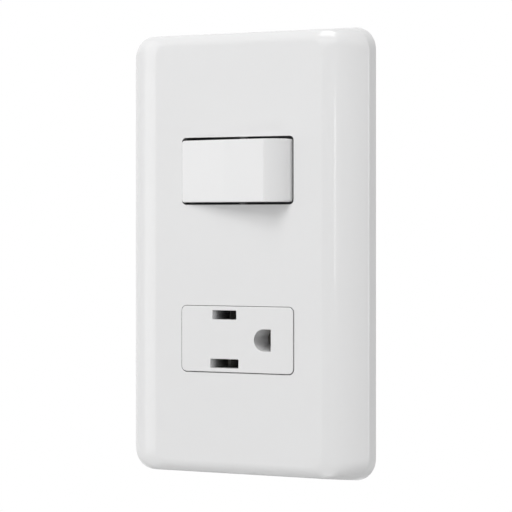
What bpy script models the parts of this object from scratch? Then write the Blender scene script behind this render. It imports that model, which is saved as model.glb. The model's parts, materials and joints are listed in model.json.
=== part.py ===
"""Wall switch and socket combination, modelled in Blender.

The frame is +Z up, +X to the right as seen from the room, and +Y into the wall.
The origin is the middle of the cover plate's flat front face, so the front is at
Y = 0 and the wall is at Y = PLATE_DEPTH. Depths below are counted along +Y.
"""
import math

import bmesh
import bpy
from mathutils import Matrix, Vector

MM = 0.001

# Clearances
FIT = 0.3 * MM
SNAP_OVERLAP = 1.2 * MM

# Cover plate
PLATE_WIDTH = 71.5 * MM
PLATE_HEIGHT = 116.6 * MM
PLATE_DEPTH = 10.0 * MM
PLATE_RIM = 3.8 * MM
PLATE_WALL = 2.0 * MM
PLATE_CORNER = 5.8 * MM
FLAT_CORNER = 3.0 * MM
SIDE_SLOPE_WIDTH = 10.5 * MM
SIDE_SLOPE_START = math.radians(8)
END_CURVE_RADIUS = 5.0 * MM
END_CURVE_TURN = math.radians(33)
END_EDGE_RADIUS = 1.0 * MM
END_DRAFT = math.radians(5.3)
RIB_THICKNESS = 1.0 * MM
RIB_DEPTH = 3.0 * MM
HOOK_WIDTH = 7.0 * MM
HOOK_THICKNESS = 1.4 * MM
HOOK_SIDE_INSET = 6.25 * MM
HOOK_END_INSET = 28.3 * MM

# Windows and the modules behind them, which hang a little below the plate's middle
MODULE_DROP = 0.4 * MM
WINDOW_WIDTH = 33.9 * MM
WINDOW_HEIGHT = 17.45 * MM
SWITCH_WINDOW_CORNER = 1.1 * MM
SOCKET_WINDOW_CORNER = 1.5 * MM
WINDOW_DRAFT = 0.3 * MM
MODULE_FLANGE_WIDTH = 39.4 * MM
MODULE_HEIGHT = 21.6 * MM
MODULE_FRONT_WIDTH = 37.6 * MM
FLANGE_THICKNESS = 1.4 * MM
MODULE_CORNER = 1.2 * MM
HOUSING_WIDTH = 34.0 * MM
LATCH_WIDTH = 6.0 * MM
LATCH_HOLD = 0.9 * MM
LATCH_LIP = 0.5 * MM
LATCH_RAMP = 4.0 * MM

# Strap, frame and their screws. Insets are counted from the plate's ends, and give
# the usual 83.5 mm between box screws and 44 mm between modules.
STRAP_THICKNESS = 1.2 * MM
STRAP_WIDTH = 41.0 * MM
STRAP_INSET = 5.0 * MM
STRAP_EAR_WIDTH = 28.0 * MM
STRAP_CORNER = 3.0 * MM
BOX_SCREW_INSET = 16.55 * MM
BOX_SCREW_LENGTH = 17.5 * MM
BOX_SCREW_HEAD_RADIUS = 3.2 * MM
BOX_SLOT_LENGTH = 9.0 * MM
SCREW_TO_SHOULDER = 4.75 * MM
SCREW_TO_MODULE = 8.95 * MM
FRAME_THICKNESS = 1.5 * MM
FRAME_SKIRT = 1.35 * MM
FRAME_OPENING_WIDTH = 42.0 * MM
FRAME_OPENING_INSET = 12.1 * MM
FRAME_CORNER = 3.0 * MM
FRAME_SCREW_INSET = 7.8 * MM
FRAME_SCREW_REACH = 2.0 * MM

# Rocker, as it stands with its left end pressed
ROCKER_END_GAP = 0.35 * MM
ROCKER_SIDE_GAP = 0.55 * MM
ROCKER_LEFT_RISE = 0.4 * MM
ROCKER_CREASE_X = -1.95 * MM
ROCKER_CREASE_RISE = 3.2 * MM
ROCKER_RIDGE_X = 10.95 * MM
ROCKER_RIDGE_RISE = 5.0 * MM
ROCKER_RIGHT_RISE = 1.75 * MM
ROCKER_RIGHT_START = math.radians(22)
ROCKER_END_ROUND = 0.85 * MM
ROCKER_CORNER = 0.8 * MM
ROCKER_WALL = 1.5 * MM
ROCKER_SKIRT_LEFT = 3.8 * MM
ROCKER_SKIRT_RIGHT = 1.5 * MM
ROCKER_THROW = math.radians(8)
HINGE_DEPTH = 3.4 * MM
PIN_RADIUS = 1.1 * MM
PIN_LENGTH = 1.2 * MM
EAR_RADIUS = 2.4 * MM
STEM_WIDTH = 5.6 * MM
STEM_TO_ARM = 3.4 * MM

# Plunger, spring and see-saw contact
BORE_RADIUS = 1.65 * MM
BORE_START = 1.0 * MM
PLUNGER_SHARE = 0.446
SPRING_WIRE = 0.3 * MM
SPRING_TURNS = 5
ARM_PIVOT_DEPTH = 17.3 * MM
ARM_THROW = math.radians(16)
ARM_THICKNESS = 0.9 * MM
ARM_WIDTH = 5.0 * MM
ARM_LEFT = 6.8 * MM
ARM_RIGHT = 8.4 * MM
CONTACT_X = 6.6 * MM
CONTACT_RADIUS = 1.6 * MM
CONTACT_THICKNESS = 0.5 * MM
RIVET_SHANK = 0.7 * MM
FULCRUM_THICKNESS = 1.2 * MM
CHAMBER_HEIGHT = 10.0 * MM

# Terminals, alike in both modules
PIVOT_TO_STRIP = 3.3 * MM
STRIP_THICKNESS = 1.0 * MM
STRIP_WIDTH = 5.0 * MM
POCKET_INNER = 10.2 * MM
POCKET_OUTER = 15.8 * MM
POCKET_WALL = 1.6 * MM
POCKET_HEIGHT = 8.4 * MM
HEAD_TO_BACK = 5.0 * MM
SCREW_RADIUS = 1.75 * MM
SCREW_HEAD_RADIUS = 2.45 * MM
SCREW_HEAD_HEIGHT = 1.9 * MM
SCREW_BITE = 1.6 * MM
CLAMP_THICKNESS = 1.0 * MM
CLAMP_HEIGHT = 6.6 * MM
WIRE_SPACE = 1.0 * MM

# Socket, to the usual three-pin 125 V layout
FACE_PROUD = 0.3 * MM
FACE_WALL = 3.0 * MM
SLOT_PITCH = 12.7 * MM
SLOT_X = -3.75 * MM
SLOT_HEIGHT = 2.4 * MM
LINE_SLOT_LENGTH = 7.15 * MM
NEUTRAL_SLOT_LENGTH = 8.6 * MM
GROUND_DISTANCE = 11.89 * MM
GROUND_RADIUS = 2.85 * MM
GROUND_FLAT = 2.35 * MM
GROUND_TUBE_WALL = 1.1 * MM
BLADE_THICKNESS = 1.5 * MM
LEAF_THICKNESS = 0.6 * MM
LEAF_LENGTH = 6.0 * MM
LEAF_FRONT = 9.6 * MM
GROUND_PIN = 4.8 * MM
TERMINAL_LANE = 5.2 * MM
BLADE_CHAMBER_HEIGHT = 5.2 * MM

# Worked out from the above
PLATE_RISE = PLATE_DEPTH - PLATE_RIM
HOOK_X = PLATE_WIDTH / 2 - HOOK_SIDE_INSET
HOOK_Z = PLATE_HEIGHT / 2 - HOOK_END_INSET
BOX_SCREW_Z = PLATE_HEIGHT / 2 - BOX_SCREW_INSET
FRAME_SCREW_Z = PLATE_HEIGHT / 2 - FRAME_SCREW_INSET
MODULE_PITCH = BOX_SCREW_Z - SCREW_TO_MODULE - MODULE_HEIGHT / 2
STRAP_SHOULDER = BOX_SCREW_Z - SCREW_TO_SHOULDER
CAVITY_RISE = PLATE_RISE - 0.7 * PLATE_WALL
STRAP_FRONT = PLATE_DEPTH - STRAP_THICKNESS
FRAME_BACK = STRAP_FRONT - FIT
FRAME_FRONT = FRAME_BACK - FRAME_THICKNESS
MODULE_FRONT = PLATE_WALL + FIT
MODULE_BACK = STRAP_FRONT - FIT
MODULE_FLOOR = MODULE_BACK - 1.5 * MM
STRIP_DEPTH = ARM_PIVOT_DEPTH + PIVOT_TO_STRIP
STRIP_BACK = STRIP_DEPTH + STRIP_THICKNESS
CHAMBER_FLOOR = STRIP_BACK + FIT
POCKET_FLOOR = STRIP_DEPTH - FIT
CLAMP_FRONT = STRIP_BACK + WIRE_SPACE
CLAMP_BACK = CLAMP_FRONT + CLAMP_THICKNESS
HOUSING_BACK = CLAMP_BACK + FIT + SCREW_HEAD_HEIGHT + HEAD_TO_BACK
STEM_END = ARM_PIVOT_DEPTH - STEM_TO_ARM
PLUNGER_LENGTH = PLUNGER_SHARE * (ARM_PIVOT_DEPTH - HINGE_DEPTH)
PLUNGER_TIP = ARM_PIVOT_DEPTH - ARM_THICKNESS / 2 - FIT - 0.05 * MM
TERMINAL_X = (POCKET_INNER + POCKET_OUTER) / 2
SWITCH_Z = MODULE_PITCH - MODULE_DROP
SOCKET_Z = -MODULE_PITCH - MODULE_DROP
ROCKER_HALF = WINDOW_WIDTH / 2 - ROCKER_END_GAP
ROCKER_HALF_HEIGHT = WINDOW_HEIGHT / 2 - ROCKER_SIDE_GAP
GROUND_X = SLOT_X + GROUND_DISTANCE
HINGE = Vector((0, HINGE_DEPTH, SWITCH_Z))
ARM_PIVOT = Vector((0, ARM_PIVOT_DEPTH, SWITCH_Z))

MATERIALS = {
    "white_plastic": ((0.80, 0.80, 0.80), 0.28, 0.0),
    "grey_plastic": ((0.30, 0.31, 0.32), 0.45, 0.0),
    "white_resin": ((0.74, 0.74, 0.72), 0.42, 0.0),
    "zinc_steel": ((0.62, 0.63, 0.64), 0.35, 1.0),
    "brass": ((0.78, 0.58, 0.28), 0.30, 1.0),
    "copper": ((0.80, 0.45, 0.30), 0.30, 1.0),
    "silver": ((0.86, 0.85, 0.82), 0.25, 1.0),
    "spring_steel": ((0.45, 0.45, 0.46), 0.30, 1.0),
}


def clear_scene():
    for item in list(bpy.data.objects):
        bpy.data.objects.remove(item, do_unlink=True)


def material(name):
    """The named material, made on first use."""
    found = bpy.data.materials.get(name)
    if found:
        return found
    colour, roughness, metallic = MATERIALS[name]
    made = bpy.data.materials.new(name)
    made.use_nodes = True
    shader = made.node_tree.nodes["Principled BSDF"]
    shader.inputs["Base Color"].default_value = (*colour, 1.0)
    shader.inputs["Roughness"].default_value = roughness
    shader.inputs["Metallic"].default_value = metallic
    return made


def arc(start, end, start_angle, steps):
    """Points after start on the arc to end that leaves start at start_angle."""
    across = end[0] - start[0]
    along = end[1] - start[1]
    chord = math.hypot(across, along)
    chord_angle = math.atan2(along, across)
    turn = 2 * (chord_angle - start_angle)
    radius = chord / (2 * math.sin(turn / 2))
    points = []
    for step in range(1, steps + 1):
        part = turn * step / steps
        length = 2 * radius * math.sin(part / 2)
        angle = start_angle + part / 2
        points.append((start[0] + length * math.cos(angle), start[1] + length * math.sin(angle)))
    return points


def circle(centre, radius, steps):
    angles = [2 * math.pi * step / steps for step in range(steps)]
    return [(centre[0] + radius * math.cos(a), centre[1] + radius * math.sin(a)) for a in angles]


def rectangle(left, right, bottom, top):
    return [(left, bottom), (right, bottom), (right, top), (left, top)]


def rounded_rectangle(half_width, half_height, radius, steps, centre=(0, 0)):
    """An upright rectangle with round corners, anticlockwise from its top right corner."""
    points = []
    for corner in range(4):
        middle_x = half_width - radius if corner in (0, 3) else radius - half_width
        middle_z = half_height - radius if corner in (0, 1) else radius - half_height
        for step in range(steps + 1):
            angle = math.pi / 2 * (corner + step / steps)
            points.append((centre[0] + middle_x + radius * math.cos(angle),
                           centre[1] + middle_z + radius * math.sin(angle)))
    return points


def place(point, axis, height):
    """A 2-D outline point at a height along the axis: (y, z), (x, z) or (x, y) in turn."""
    if axis == "X":
        return (height, point[0], point[1])
    if axis == "Y":
        return (point[0], height, point[1])
    return (point[0], point[1], height)


def loft(rings):
    """A closed solid through rings of equal point counts, with flat ends."""
    mesh = bmesh.new()
    rows = [[mesh.verts.new(point) for point in ring] for ring in rings]
    for row, following in zip(rows, rows[1:]):
        for index in range(len(row)):
            after = (index + 1) % len(row)
            mesh.faces.new((row[index], row[after], following[after], following[index]))
    mesh.faces.new(rows[0])
    mesh.faces.new(rows[-1])
    bmesh.ops.recalc_face_normals(mesh, faces=mesh.faces)
    return mesh


def prism(outline, axis, start, end):
    return loft([[place(point, axis, height) for point in outline] for height in (start, end)])


def box(x_range, y_range, z_range):
    return prism(rectangle(*x_range, *z_range), "Y", *y_range)


def turned(profile, x, z, steps):
    """A solid turned about a line along Y through (x, z), from (radius, depth) pairs."""
    return loft([[place(point, "Y", depth) for point in circle((x, z), radius, steps)]
                 for radius, depth in profile])


def group(*meshes):
    """One mesh holding several that don't touch each other."""
    whole = bmesh.new()
    for mesh in meshes:
        copies = {vert: whole.verts.new(vert.co) for vert in mesh.verts}
        for face in mesh.faces:
            whole.faces.new([copies[vert] for vert in face.verts])
        mesh.free()
    return whole


def turn_about(mesh, angle, pivot):
    """Turns a mesh about an upright line through the pivot."""
    spin = Matrix.Translation(pivot) @ Matrix.Rotation(angle, 4, "Z") @ Matrix.Translation(-pivot)
    mesh.transform(spin)
    return mesh


def mirrored(mesh):
    """The mesh and its mirror image across the middle, as one."""
    copy = mesh.copy()
    for vert in copy.verts:
        vert.co.x = -vert.co.x
    bmesh.ops.reverse_faces(copy, faces=copy.faces)
    return group(mesh, copy)


def make_object(name, mesh, origin):
    data = bpy.data.meshes.new(name)
    mesh.transform(Matrix.Translation(-origin))
    mesh.to_mesh(data)
    mesh.free()
    made = bpy.data.objects.new(name, data)
    made.location = origin
    bpy.context.collection.objects.link(made)
    return made


def solid(name, material_name, body, steps=(), origin=Vector((0, 0, 0)), smooth=30):
    """One piece: a body, then unions ("add") and cuts ("cut") made on it in turn."""
    piece = make_object(name, body, origin)
    piece.data.materials.append(material(material_name))
    for number, (kind, mesh) in enumerate(steps):
        tool = make_object(f"{name}_tool_{number}", mesh, origin)
        tool.parent = piece
        tool.matrix_parent_inverse = Matrix.Translation(-origin)
        tool.hide_render = True
        tool.display_type = "WIRE"
        change = piece.modifiers.new(f"{kind}_{number}", "BOOLEAN")
        change.operation = "UNION" if kind == "add" else "DIFFERENCE"
        change.solver = "EXACT"
        change.object = tool
    piece.data.shade_smooth()
    piece.data.set_sharp_from_angle(angle=math.radians(smooth))
    return piece


def slope_inset(part, rise):
    """How far in from the rim a long side lies, at a part (0 front, 1 rim) of the rise."""
    mean = math.atan2(PLATE_RISE, SIDE_SLOPE_WIDTH)
    end = 2 * mean - SIDE_SLOPE_START
    radius = SIDE_SLOPE_WIDTH / (math.sin(end) - math.sin(SIDE_SLOPE_START))
    cosine = math.cos(SIDE_SLOPE_START) - part * PLATE_RISE / radius
    run = radius * (math.sqrt(1 - cosine * cosine) - math.sin(SIDE_SLOPE_START))
    return (SIDE_SLOPE_WIDTH - run) * rise / PLATE_RISE


def end_profile(steps):
    """An end of the plate as (run, depth) from its flat: a slow curve, then a tight edge."""
    points = [(END_CURVE_RADIUS * math.sin(angle), END_CURVE_RADIUS * (1 - math.cos(angle)))
              for angle in (END_CURVE_TURN * step / steps for step in range(steps + 1))]
    run, depth = points[-1]
    turn = math.pi / 2 - END_DRAFT - END_CURVE_TURN
    for step in range(1, steps + 1):
        angle = END_CURVE_TURN + turn * step / steps
        points.append((run + END_EDGE_RADIUS * (math.sin(angle) - math.sin(END_CURVE_TURN)),
                       depth + END_EDGE_RADIUS * (math.cos(END_CURVE_TURN) - math.cos(angle))))
    return points


def end_inset(run, depth):
    """How far in from the plate's back edge a point of the end profile lies."""
    last_run, last_depth = end_profile(1)[-1]
    slant = math.tan(END_DRAFT)
    if depth >= last_depth:
        return (PLATE_DEPTH - depth) * slant
    return (PLATE_DEPTH - last_depth) * slant + last_run - run


def dome_rings(inward, front, rise, end_steps, side_steps, steps):
    """The plate's form from its flat front to the rim: sloped sides and curved ends."""
    profile = end_profile(end_steps)
    last = profile[-1][1]
    profile += [(0, last + (PLATE_RISE - last) * step / side_steps)
                for step in range(1, side_steps + 1)]
    made = []
    for run, depth in profile:
        part = depth / PLATE_RISE
        side = slope_inset(part, rise)
        closeness = 1 - side / SIDE_SLOPE_WIDTH
        corner = FLAT_CORNER + (PLATE_CORNER - FLAT_CORNER) * closeness - 0.5 * inward
        outline = rounded_rectangle(PLATE_WIDTH / 2 - inward - side,
                                    PLATE_HEIGHT / 2 - inward - end_inset(run, depth),
                                    corner, steps)
        made.append([place(point, "Y", front + part * rise) for point in outline])
    return made


def window_cutter(z, corner):
    """A window that widens a little towards the back, as it leaves the mould."""
    rings = []
    for depth in (-PLATE_WALL, 2 * PLATE_WALL):
        spread = WINDOW_DRAFT * depth / PLATE_WALL
        outline = rounded_rectangle(WINDOW_WIDTH / 2 + spread, WINDOW_HEIGHT / 2,
                                    corner, 4, (0, z))
        rings.append([place(point, "Y", depth) for point in outline])
    return loft(rings)


def hook_profile():
    """A snap hook's side view: it hangs from the slope and catches behind the frame."""
    inner = HOOK_X - HOOK_THICKNESS / 2
    outer = HOOK_X + HOOK_THICKNESS / 2
    root = PLATE_WALL + 1.2 * MM
    catch = FRAME_BACK + FIT
    tip = catch + 1.0 * MM
    barb = inner - SNAP_OVERLAP - FIT
    return [(inner, root), (outer, root), (outer, tip), (inner, tip), (barb, catch + FIT),
            (barb, catch), (inner, catch)]


def cover_plate():
    shell = loft(dome_rings(0, 0, PLATE_RISE, 4, 5, 7)
                 + [[place(point, "Y", PLATE_DEPTH) for point in rounded_rectangle(
                     PLATE_WIDTH / 2, PLATE_HEIGHT / 2, PLATE_CORNER, 7)]])
    inner_corner = PLATE_CORNER - 0.5 * PLATE_WALL
    beyond = PLATE_DEPTH + PLATE_WALL
    cavity = loft(dome_rings(PLATE_WALL, PLATE_WALL, CAVITY_RISE, 2, 3, 5)
                  + [[place(point, "Y", beyond) for point in rounded_rectangle(
                      PLATE_WIDTH / 2 - PLATE_WALL,
                      PLATE_HEIGHT / 2 - end_inset(0, beyond) - PLATE_WALL, inner_corner, 5)]])
    rib_x = FRAME_OPENING_WIDTH / 2 + RIB_THICKNESS
    rib_top = BOX_SCREW_Z + 2 * MM
    rib_end = PLATE_WALL + RIB_DEPTH
    root = PLATE_WALL / 2
    upright = mirrored(box((rib_x, rib_x + RIB_THICKNESS), (root, rib_end), (-rib_top, rib_top)))
    cross = [box((-rib_x - FIT, rib_x + FIT), (root, rib_end - FIT),
                 (z - RIB_THICKNESS / 2, z + RIB_THICKNESS / 2))
             for z in (-rib_top + 4 * MM, 0, rib_top - 4 * MM)]
    hooks = [mirrored(prism(hook_profile(), "Z", z - HOOK_WIDTH / 2, z + HOOK_WIDTH / 2))
             for z in (-HOOK_Z, HOOK_Z)]
    return solid("cover_plate", "white_plastic", shell, [
        ("cut", cavity),
        ("add", upright),
        ("add", group(*cross)),
        ("add", group(*hooks)),
        ("cut", group(window_cutter(SWITCH_Z, SWITCH_WINDOW_CORNER),
                      window_cutter(SOCKET_Z, SOCKET_WINDOW_CORNER))),
    ])


def plate_frame():
    half_width = PLATE_WIDTH / 2 - PLATE_WALL - FIT
    half_height = PLATE_HEIGHT / 2 - end_inset(0, FRAME_FRONT) - PLATE_WALL - FIT
    corner = PLATE_CORNER - 0.5 * PLATE_WALL
    skirt_back = PLATE_DEPTH - FIT / 2
    body = prism(rounded_rectangle(half_width, half_height, corner, 5), "Y", FRAME_FRONT, skirt_back)
    tray = prism(rounded_rectangle(half_width - FRAME_SKIRT, half_height - FRAME_SKIRT,
                                   corner - FRAME_SKIRT, 5), "Y", FRAME_BACK, skirt_back + MM)
    opening = prism(rounded_rectangle(FRAME_OPENING_WIDTH / 2,
                                      PLATE_HEIGHT / 2 - FRAME_OPENING_INSET, FRAME_CORNER, 4,
                                      (0, -MODULE_DROP)), "Y", FRAME_FRONT - MM, skirt_back + MM)
    slot_inner = HOOK_X - HOOK_THICKNESS / 2 - FIT
    slot_outer = HOOK_X + HOOK_THICKNESS / 2 + FIT
    slots = [mirrored(box((slot_inner, slot_outer), (FRAME_FRONT - MM, FRAME_BACK + MM / 2),
                          (z - HOOK_WIDTH / 2 - FIT, z + HOOK_WIDTH / 2 + FIT)))
             for z in (-HOOK_Z, HOOK_Z)]
    holes = [turned([(SCREW_RADIUS + FIT, FRAME_FRONT - MM), (SCREW_RADIUS + FIT, FRAME_BACK + MM)],
                    0, z - MODULE_DROP, 16) for z in (-FRAME_SCREW_Z, FRAME_SCREW_Z)]
    return solid("plate_frame", "grey_plastic", body, [
        ("cut", tray),
        ("cut", opening),
        ("cut", group(*slots, *holes)),
    ])


def strap_outline():
    """The stamped strap: wide beside the modules, with narrower ears for the screws."""
    top = PLATE_HEIGHT / 2 - STRAP_INSET
    bend = STRAP_CORNER
    quarter = [(STRAP_WIDTH / 2, STRAP_SHOULDER - bend)]
    quarter += arc((STRAP_WIDTH / 2, STRAP_SHOULDER - bend),
                   (STRAP_WIDTH / 2 - bend, STRAP_SHOULDER), math.pi / 2, 4)
    quarter += [(STRAP_EAR_WIDTH / 2 + bend / 2, STRAP_SHOULDER)]
    quarter += [(STRAP_EAR_WIDTH / 2, STRAP_SHOULDER + bend / 2)]
    quarter += [(STRAP_EAR_WIDTH / 2, top - bend)]
    quarter += arc((STRAP_EAR_WIDTH / 2, top - bend), (STRAP_EAR_WIDTH / 2 - bend, top),
                   math.pi / 2, 4)
    upper = quarter + [(-x, z) for x, z in reversed(quarter)]
    whole = upper + [(x, -z) for x, z in reversed(upper)]
    return [(x, z - MODULE_DROP) for x, z in whole]


def mounting_strap():
    body = prism(strap_outline(), "Y", STRAP_FRONT, PLATE_DEPTH)
    through = (STRAP_FRONT - MM, PLATE_DEPTH + MM)
    opening = prism(rounded_rectangle(HOUSING_WIDTH / 2 + FIT, MODULE_PITCH + MODULE_HEIGHT / 2,
                                      1.5 * MM, 4, (0, -MODULE_DROP)), "Y", *through)
    slot = SCREW_RADIUS + FIT
    slots = [prism(rounded_rectangle(BOX_SLOT_LENGTH / 2, slot, 0.98 * slot, 6,
                                     (0, z - MODULE_DROP)), "Y", *through)
             for z in (-BOX_SCREW_Z, BOX_SCREW_Z)]
    holes = [prism(circle((0, z - MODULE_DROP), SCREW_RADIUS + FIT, 16), "Y", *through)
             for z in (-FRAME_SCREW_Z, FRAME_SCREW_Z)]
    return solid("mounting_strap", "zinc_steel", body, [("cut", group(opening, *slots, *holes))])


def cross_recess(x, z, reach, start, end):
    """A plus-shaped driver recess, cut along Y."""
    arm = reach / 4
    quarter = [(reach, arm), (arm, arm), (arm, reach)]
    outline = []
    for turn in range(4):
        cosine, sine = math.cos(turn * math.pi / 2), math.sin(turn * math.pi / 2)
        outline += [(x + a * cosine - b * sine, z + a * sine + b * cosine) for a, b in quarter]
    return prism(outline, "Y", start, end)


def screw(name, x, z, seat, tip, head_radius=SCREW_HEAD_RADIUS):
    """A pan-head screw whose head stands on the side of its seat away from its tip."""
    side = -1 if tip > seat else 1
    crown = seat + side * SCREW_HEAD_HEIGHT
    profile = [(0.55 * head_radius, crown),
               (0.88 * head_radius, crown - side * 0.25 * SCREW_HEAD_HEIGHT),
               (head_radius, crown - side * 0.6 * SCREW_HEAD_HEIGHT),
               (head_radius, seat),
               (SCREW_RADIUS, seat),
               (SCREW_RADIUS, tip + side * 0.8 * MM),
               (0.6 * SCREW_RADIUS, tip)]
    recess = cross_recess(x, z, 0.5 * head_radius, crown + side * MM,
                          crown - side * 0.6 * SCREW_HEAD_HEIGHT)
    return solid(name, "zinc_steel", turned(profile, x, z, 14), [("cut", recess)])


def plate_screws():
    for end, side in (("upper", 1), ("lower", -1)):
        screw(f"frame_screw_{end}", 0, side * FRAME_SCREW_Z - MODULE_DROP, FRAME_FRONT - FIT,
              PLATE_DEPTH + FRAME_SCREW_REACH)
        seat = STRAP_FRONT - FIT
        screw(f"box_screw_{end}", 0, side * BOX_SCREW_Z - MODULE_DROP, seat,
              seat + BOX_SCREW_LENGTH, BOX_SCREW_HEAD_RADIUS)


def rocker_outline():
    """The rocker seen from above, as (x, depth): two facets, a ridge and a falling end."""
    left = -ROCKER_HALF
    right = ROCKER_HALF
    turn_in = right - ROCKER_END_ROUND
    ridge = (ROCKER_RIDGE_X, -ROCKER_RIDGE_RISE)
    shoulder = (turn_in, -ROCKER_RIGHT_RISE)
    fall = arc(ridge, shoulder, ROCKER_RIGHT_START, 4)
    chord = math.atan2(shoulder[1] - ridge[1], shoulder[0] - ridge[0])
    leaving = 2 * chord - ROCKER_RIGHT_START
    drop = ROCKER_END_ROUND * math.tan((leaving + math.pi / 2) / 2)
    nose = arc(shoulder, (right, shoulder[1] + drop), leaving, 4)
    lip = 0.3 * MM
    return [(left, ROCKER_SKIRT_LEFT), (left, lip - ROCKER_LEFT_RISE),
            (left + lip, -ROCKER_LEFT_RISE - lip / 4),
            (ROCKER_CREASE_X, -ROCKER_CREASE_RISE), ridge, *fall, *nose,
            (right, ROCKER_SKIRT_RIGHT)]


def rocker_hollow():
    """The space inside the rocker, one wall away from its outline."""
    left = -ROCKER_HALF + ROCKER_WALL
    right = ROCKER_HALF - ROCKER_WALL
    return [(left, ROCKER_SKIRT_LEFT + MM), (left, ROCKER_WALL - ROCKER_LEFT_RISE),
            (ROCKER_CREASE_X, ROCKER_WALL - ROCKER_CREASE_RISE),
            (ROCKER_RIDGE_X - ROCKER_WALL / 3, ROCKER_WALL - ROCKER_RIDGE_RISE),
            (right - ROCKER_WALL / 2, 0.2 * MM), (right, ROCKER_SKIRT_RIGHT + MM)]


def corner_trims(half_width, z_low, z_high, radius, depths):
    """What is cut off a piece's four upright corners to round them, seen from the front."""
    spare = MM
    trims = []
    for hand in (-1, 1):
        for edge, way in ((z_low, -1), (z_high, 1)):
            x = half_width - radius
            z = edge - way * radius
            outline = [(x, edge + way * spare), (x, edge)]
            outline += [(x + radius * math.sin(a), z + way * radius * math.cos(a))
                        for a in (math.radians(30), math.radians(60))]
            outline += [(half_width, z), (half_width + spare, z),
                        (half_width + spare, edge + way * spare)]
            trims.append(prism([(hand * a, b) for a, b in outline], "Y", *depths))
    return group(*trims)


def rocker():
    z_low = SWITCH_Z - ROCKER_HALF_HEIGHT
    z_high = SWITCH_Z + ROCKER_HALF_HEIGHT
    wall = ROCKER_WALL
    body = prism(rocker_outline(), "Z", z_low, z_high)
    hollow = prism(rocker_hollow(), "Z", z_low + wall, z_high - wall)
    ears = [prism(circle((0, HINGE_DEPTH), EAR_RADIUS, 16), "Z", *span)
            for span in ((z_low + FIT, z_low + wall - FIT), (z_high - wall + FIT, z_high - FIT))]
    pins = [prism(circle((0, HINGE_DEPTH), PIN_RADIUS, 12), "Z", *span)
            for span in ((z_low - PIN_LENGTH, z_low + wall / 2),
                         (z_high - wall / 2, z_high + PIN_LENGTH))]
    half = STEM_WIDTH / 2
    stem = box((-half, half), (-ROCKER_CREASE_RISE + HINGE_DEPTH / 2, STEM_END),
               (SWITCH_Z - half, SWITCH_Z + half))
    bore = turned([(BORE_RADIUS, HINGE_DEPTH + BORE_START), (BORE_RADIUS, STEM_END + MM)],
                  0, SWITCH_Z, 16)
    trims = corner_trims(ROCKER_HALF, z_low, z_high, ROCKER_CORNER,
                         (-ROCKER_RIDGE_RISE, ROCKER_SKIRT_LEFT + MM))
    web = 0.6 * MM
    ribs = [box((-web, web), (-ROCKER_CREASE_RISE / 2, HINGE_DEPTH + 1.2 * MM), span)
            for span in ((z_low + wall / 2, SWITCH_Z - half + FIT),
                         (SWITCH_Z + half - FIT, z_high - wall / 2))]
    tilt = -ROCKER_THROW / 2
    return solid("rocker", "white_plastic", body, [
        ("cut", trims),
        ("cut", hollow),
        ("add", group(*ears)),
        ("add", group(*pins)),
        ("add", turn_about(stem, tilt, HINGE)),
        ("add", turn_about(group(*ribs), tilt, HINGE)),
        ("cut", turn_about(bore, tilt, HINGE)),
    ], HINGE)


def plunger():
    """The round-nosed pin that the spring pushes against the see-saw."""
    radius = BORE_RADIUS - FIT
    shoulder = PLUNGER_TIP - radius
    nose = [(radius * math.cos(angle), shoulder + radius * math.sin(angle))
            for angle in (0, math.radians(30), math.radians(55), math.radians(78))]
    profile = [(radius, PLUNGER_TIP - PLUNGER_LENGTH)] + nose
    body = turn_about(turned(profile, 0, SWITCH_Z, 16), -ROCKER_THROW / 2, HINGE)
    return solid("plunger", "white_resin", body, origin=HINGE)


def coil(radius, wire, start, end, turns, x, z):
    """A helix of round wire about a line along Y, as one closed tube."""
    around = 12
    sides = 6
    rings = []
    for index in range(turns * around + 1):
        angle = 2 * math.pi * index / around
        depth = start + (end - start) * index / (turns * around)
        out = Vector((math.cos(angle), 0, math.sin(angle)))
        pitch = (end - start) / (turns * 2 * math.pi * radius)
        along = Vector((-math.sin(angle), pitch, math.cos(angle))).normalized()
        side = along.cross(out)
        centre = Vector((x, depth, z)) + out * radius
        rings.append([centre + wire * (math.cos(a) * out + math.sin(a) * side)
                      for a in (2 * math.pi * step / sides for step in range(sides))])
    return loft(rings)


def plunger_spring():
    start = HINGE_DEPTH + BORE_START + FIT + SPRING_WIRE / 2
    end = PLUNGER_TIP - PLUNGER_LENGTH - FIT - SPRING_WIRE / 2
    body = coil(BORE_RADIUS - FIT - SPRING_WIRE / 2, SPRING_WIRE / 2, start, end,
                SPRING_TURNS, 0, SWITCH_Z)
    return solid("plunger_spring", "spring_steel", turn_about(body, -ROCKER_THROW / 2, HINGE),
                 origin=HINGE)


def module_front(z, front, opening):
    """The part of a module in front of the strap: a flange and a tub around an opening."""
    half_height = MODULE_HEIGHT / 2
    flange_front = MODULE_BACK - FLANGE_THICKNESS
    tub = prism(rounded_rectangle(MODULE_FRONT_WIDTH / 2, half_height - FIT, MODULE_CORNER, 3,
                                  (0, z)), "Y", front, MODULE_BACK - FIT)
    flange = prism(rounded_rectangle(MODULE_FLANGE_WIDTH / 2, half_height, MODULE_CORNER + FIT, 3,
                                     (0, z)), "Y", flange_front, MODULE_BACK)
    return tub, [("add", flange), ("cut", opening)]


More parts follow.
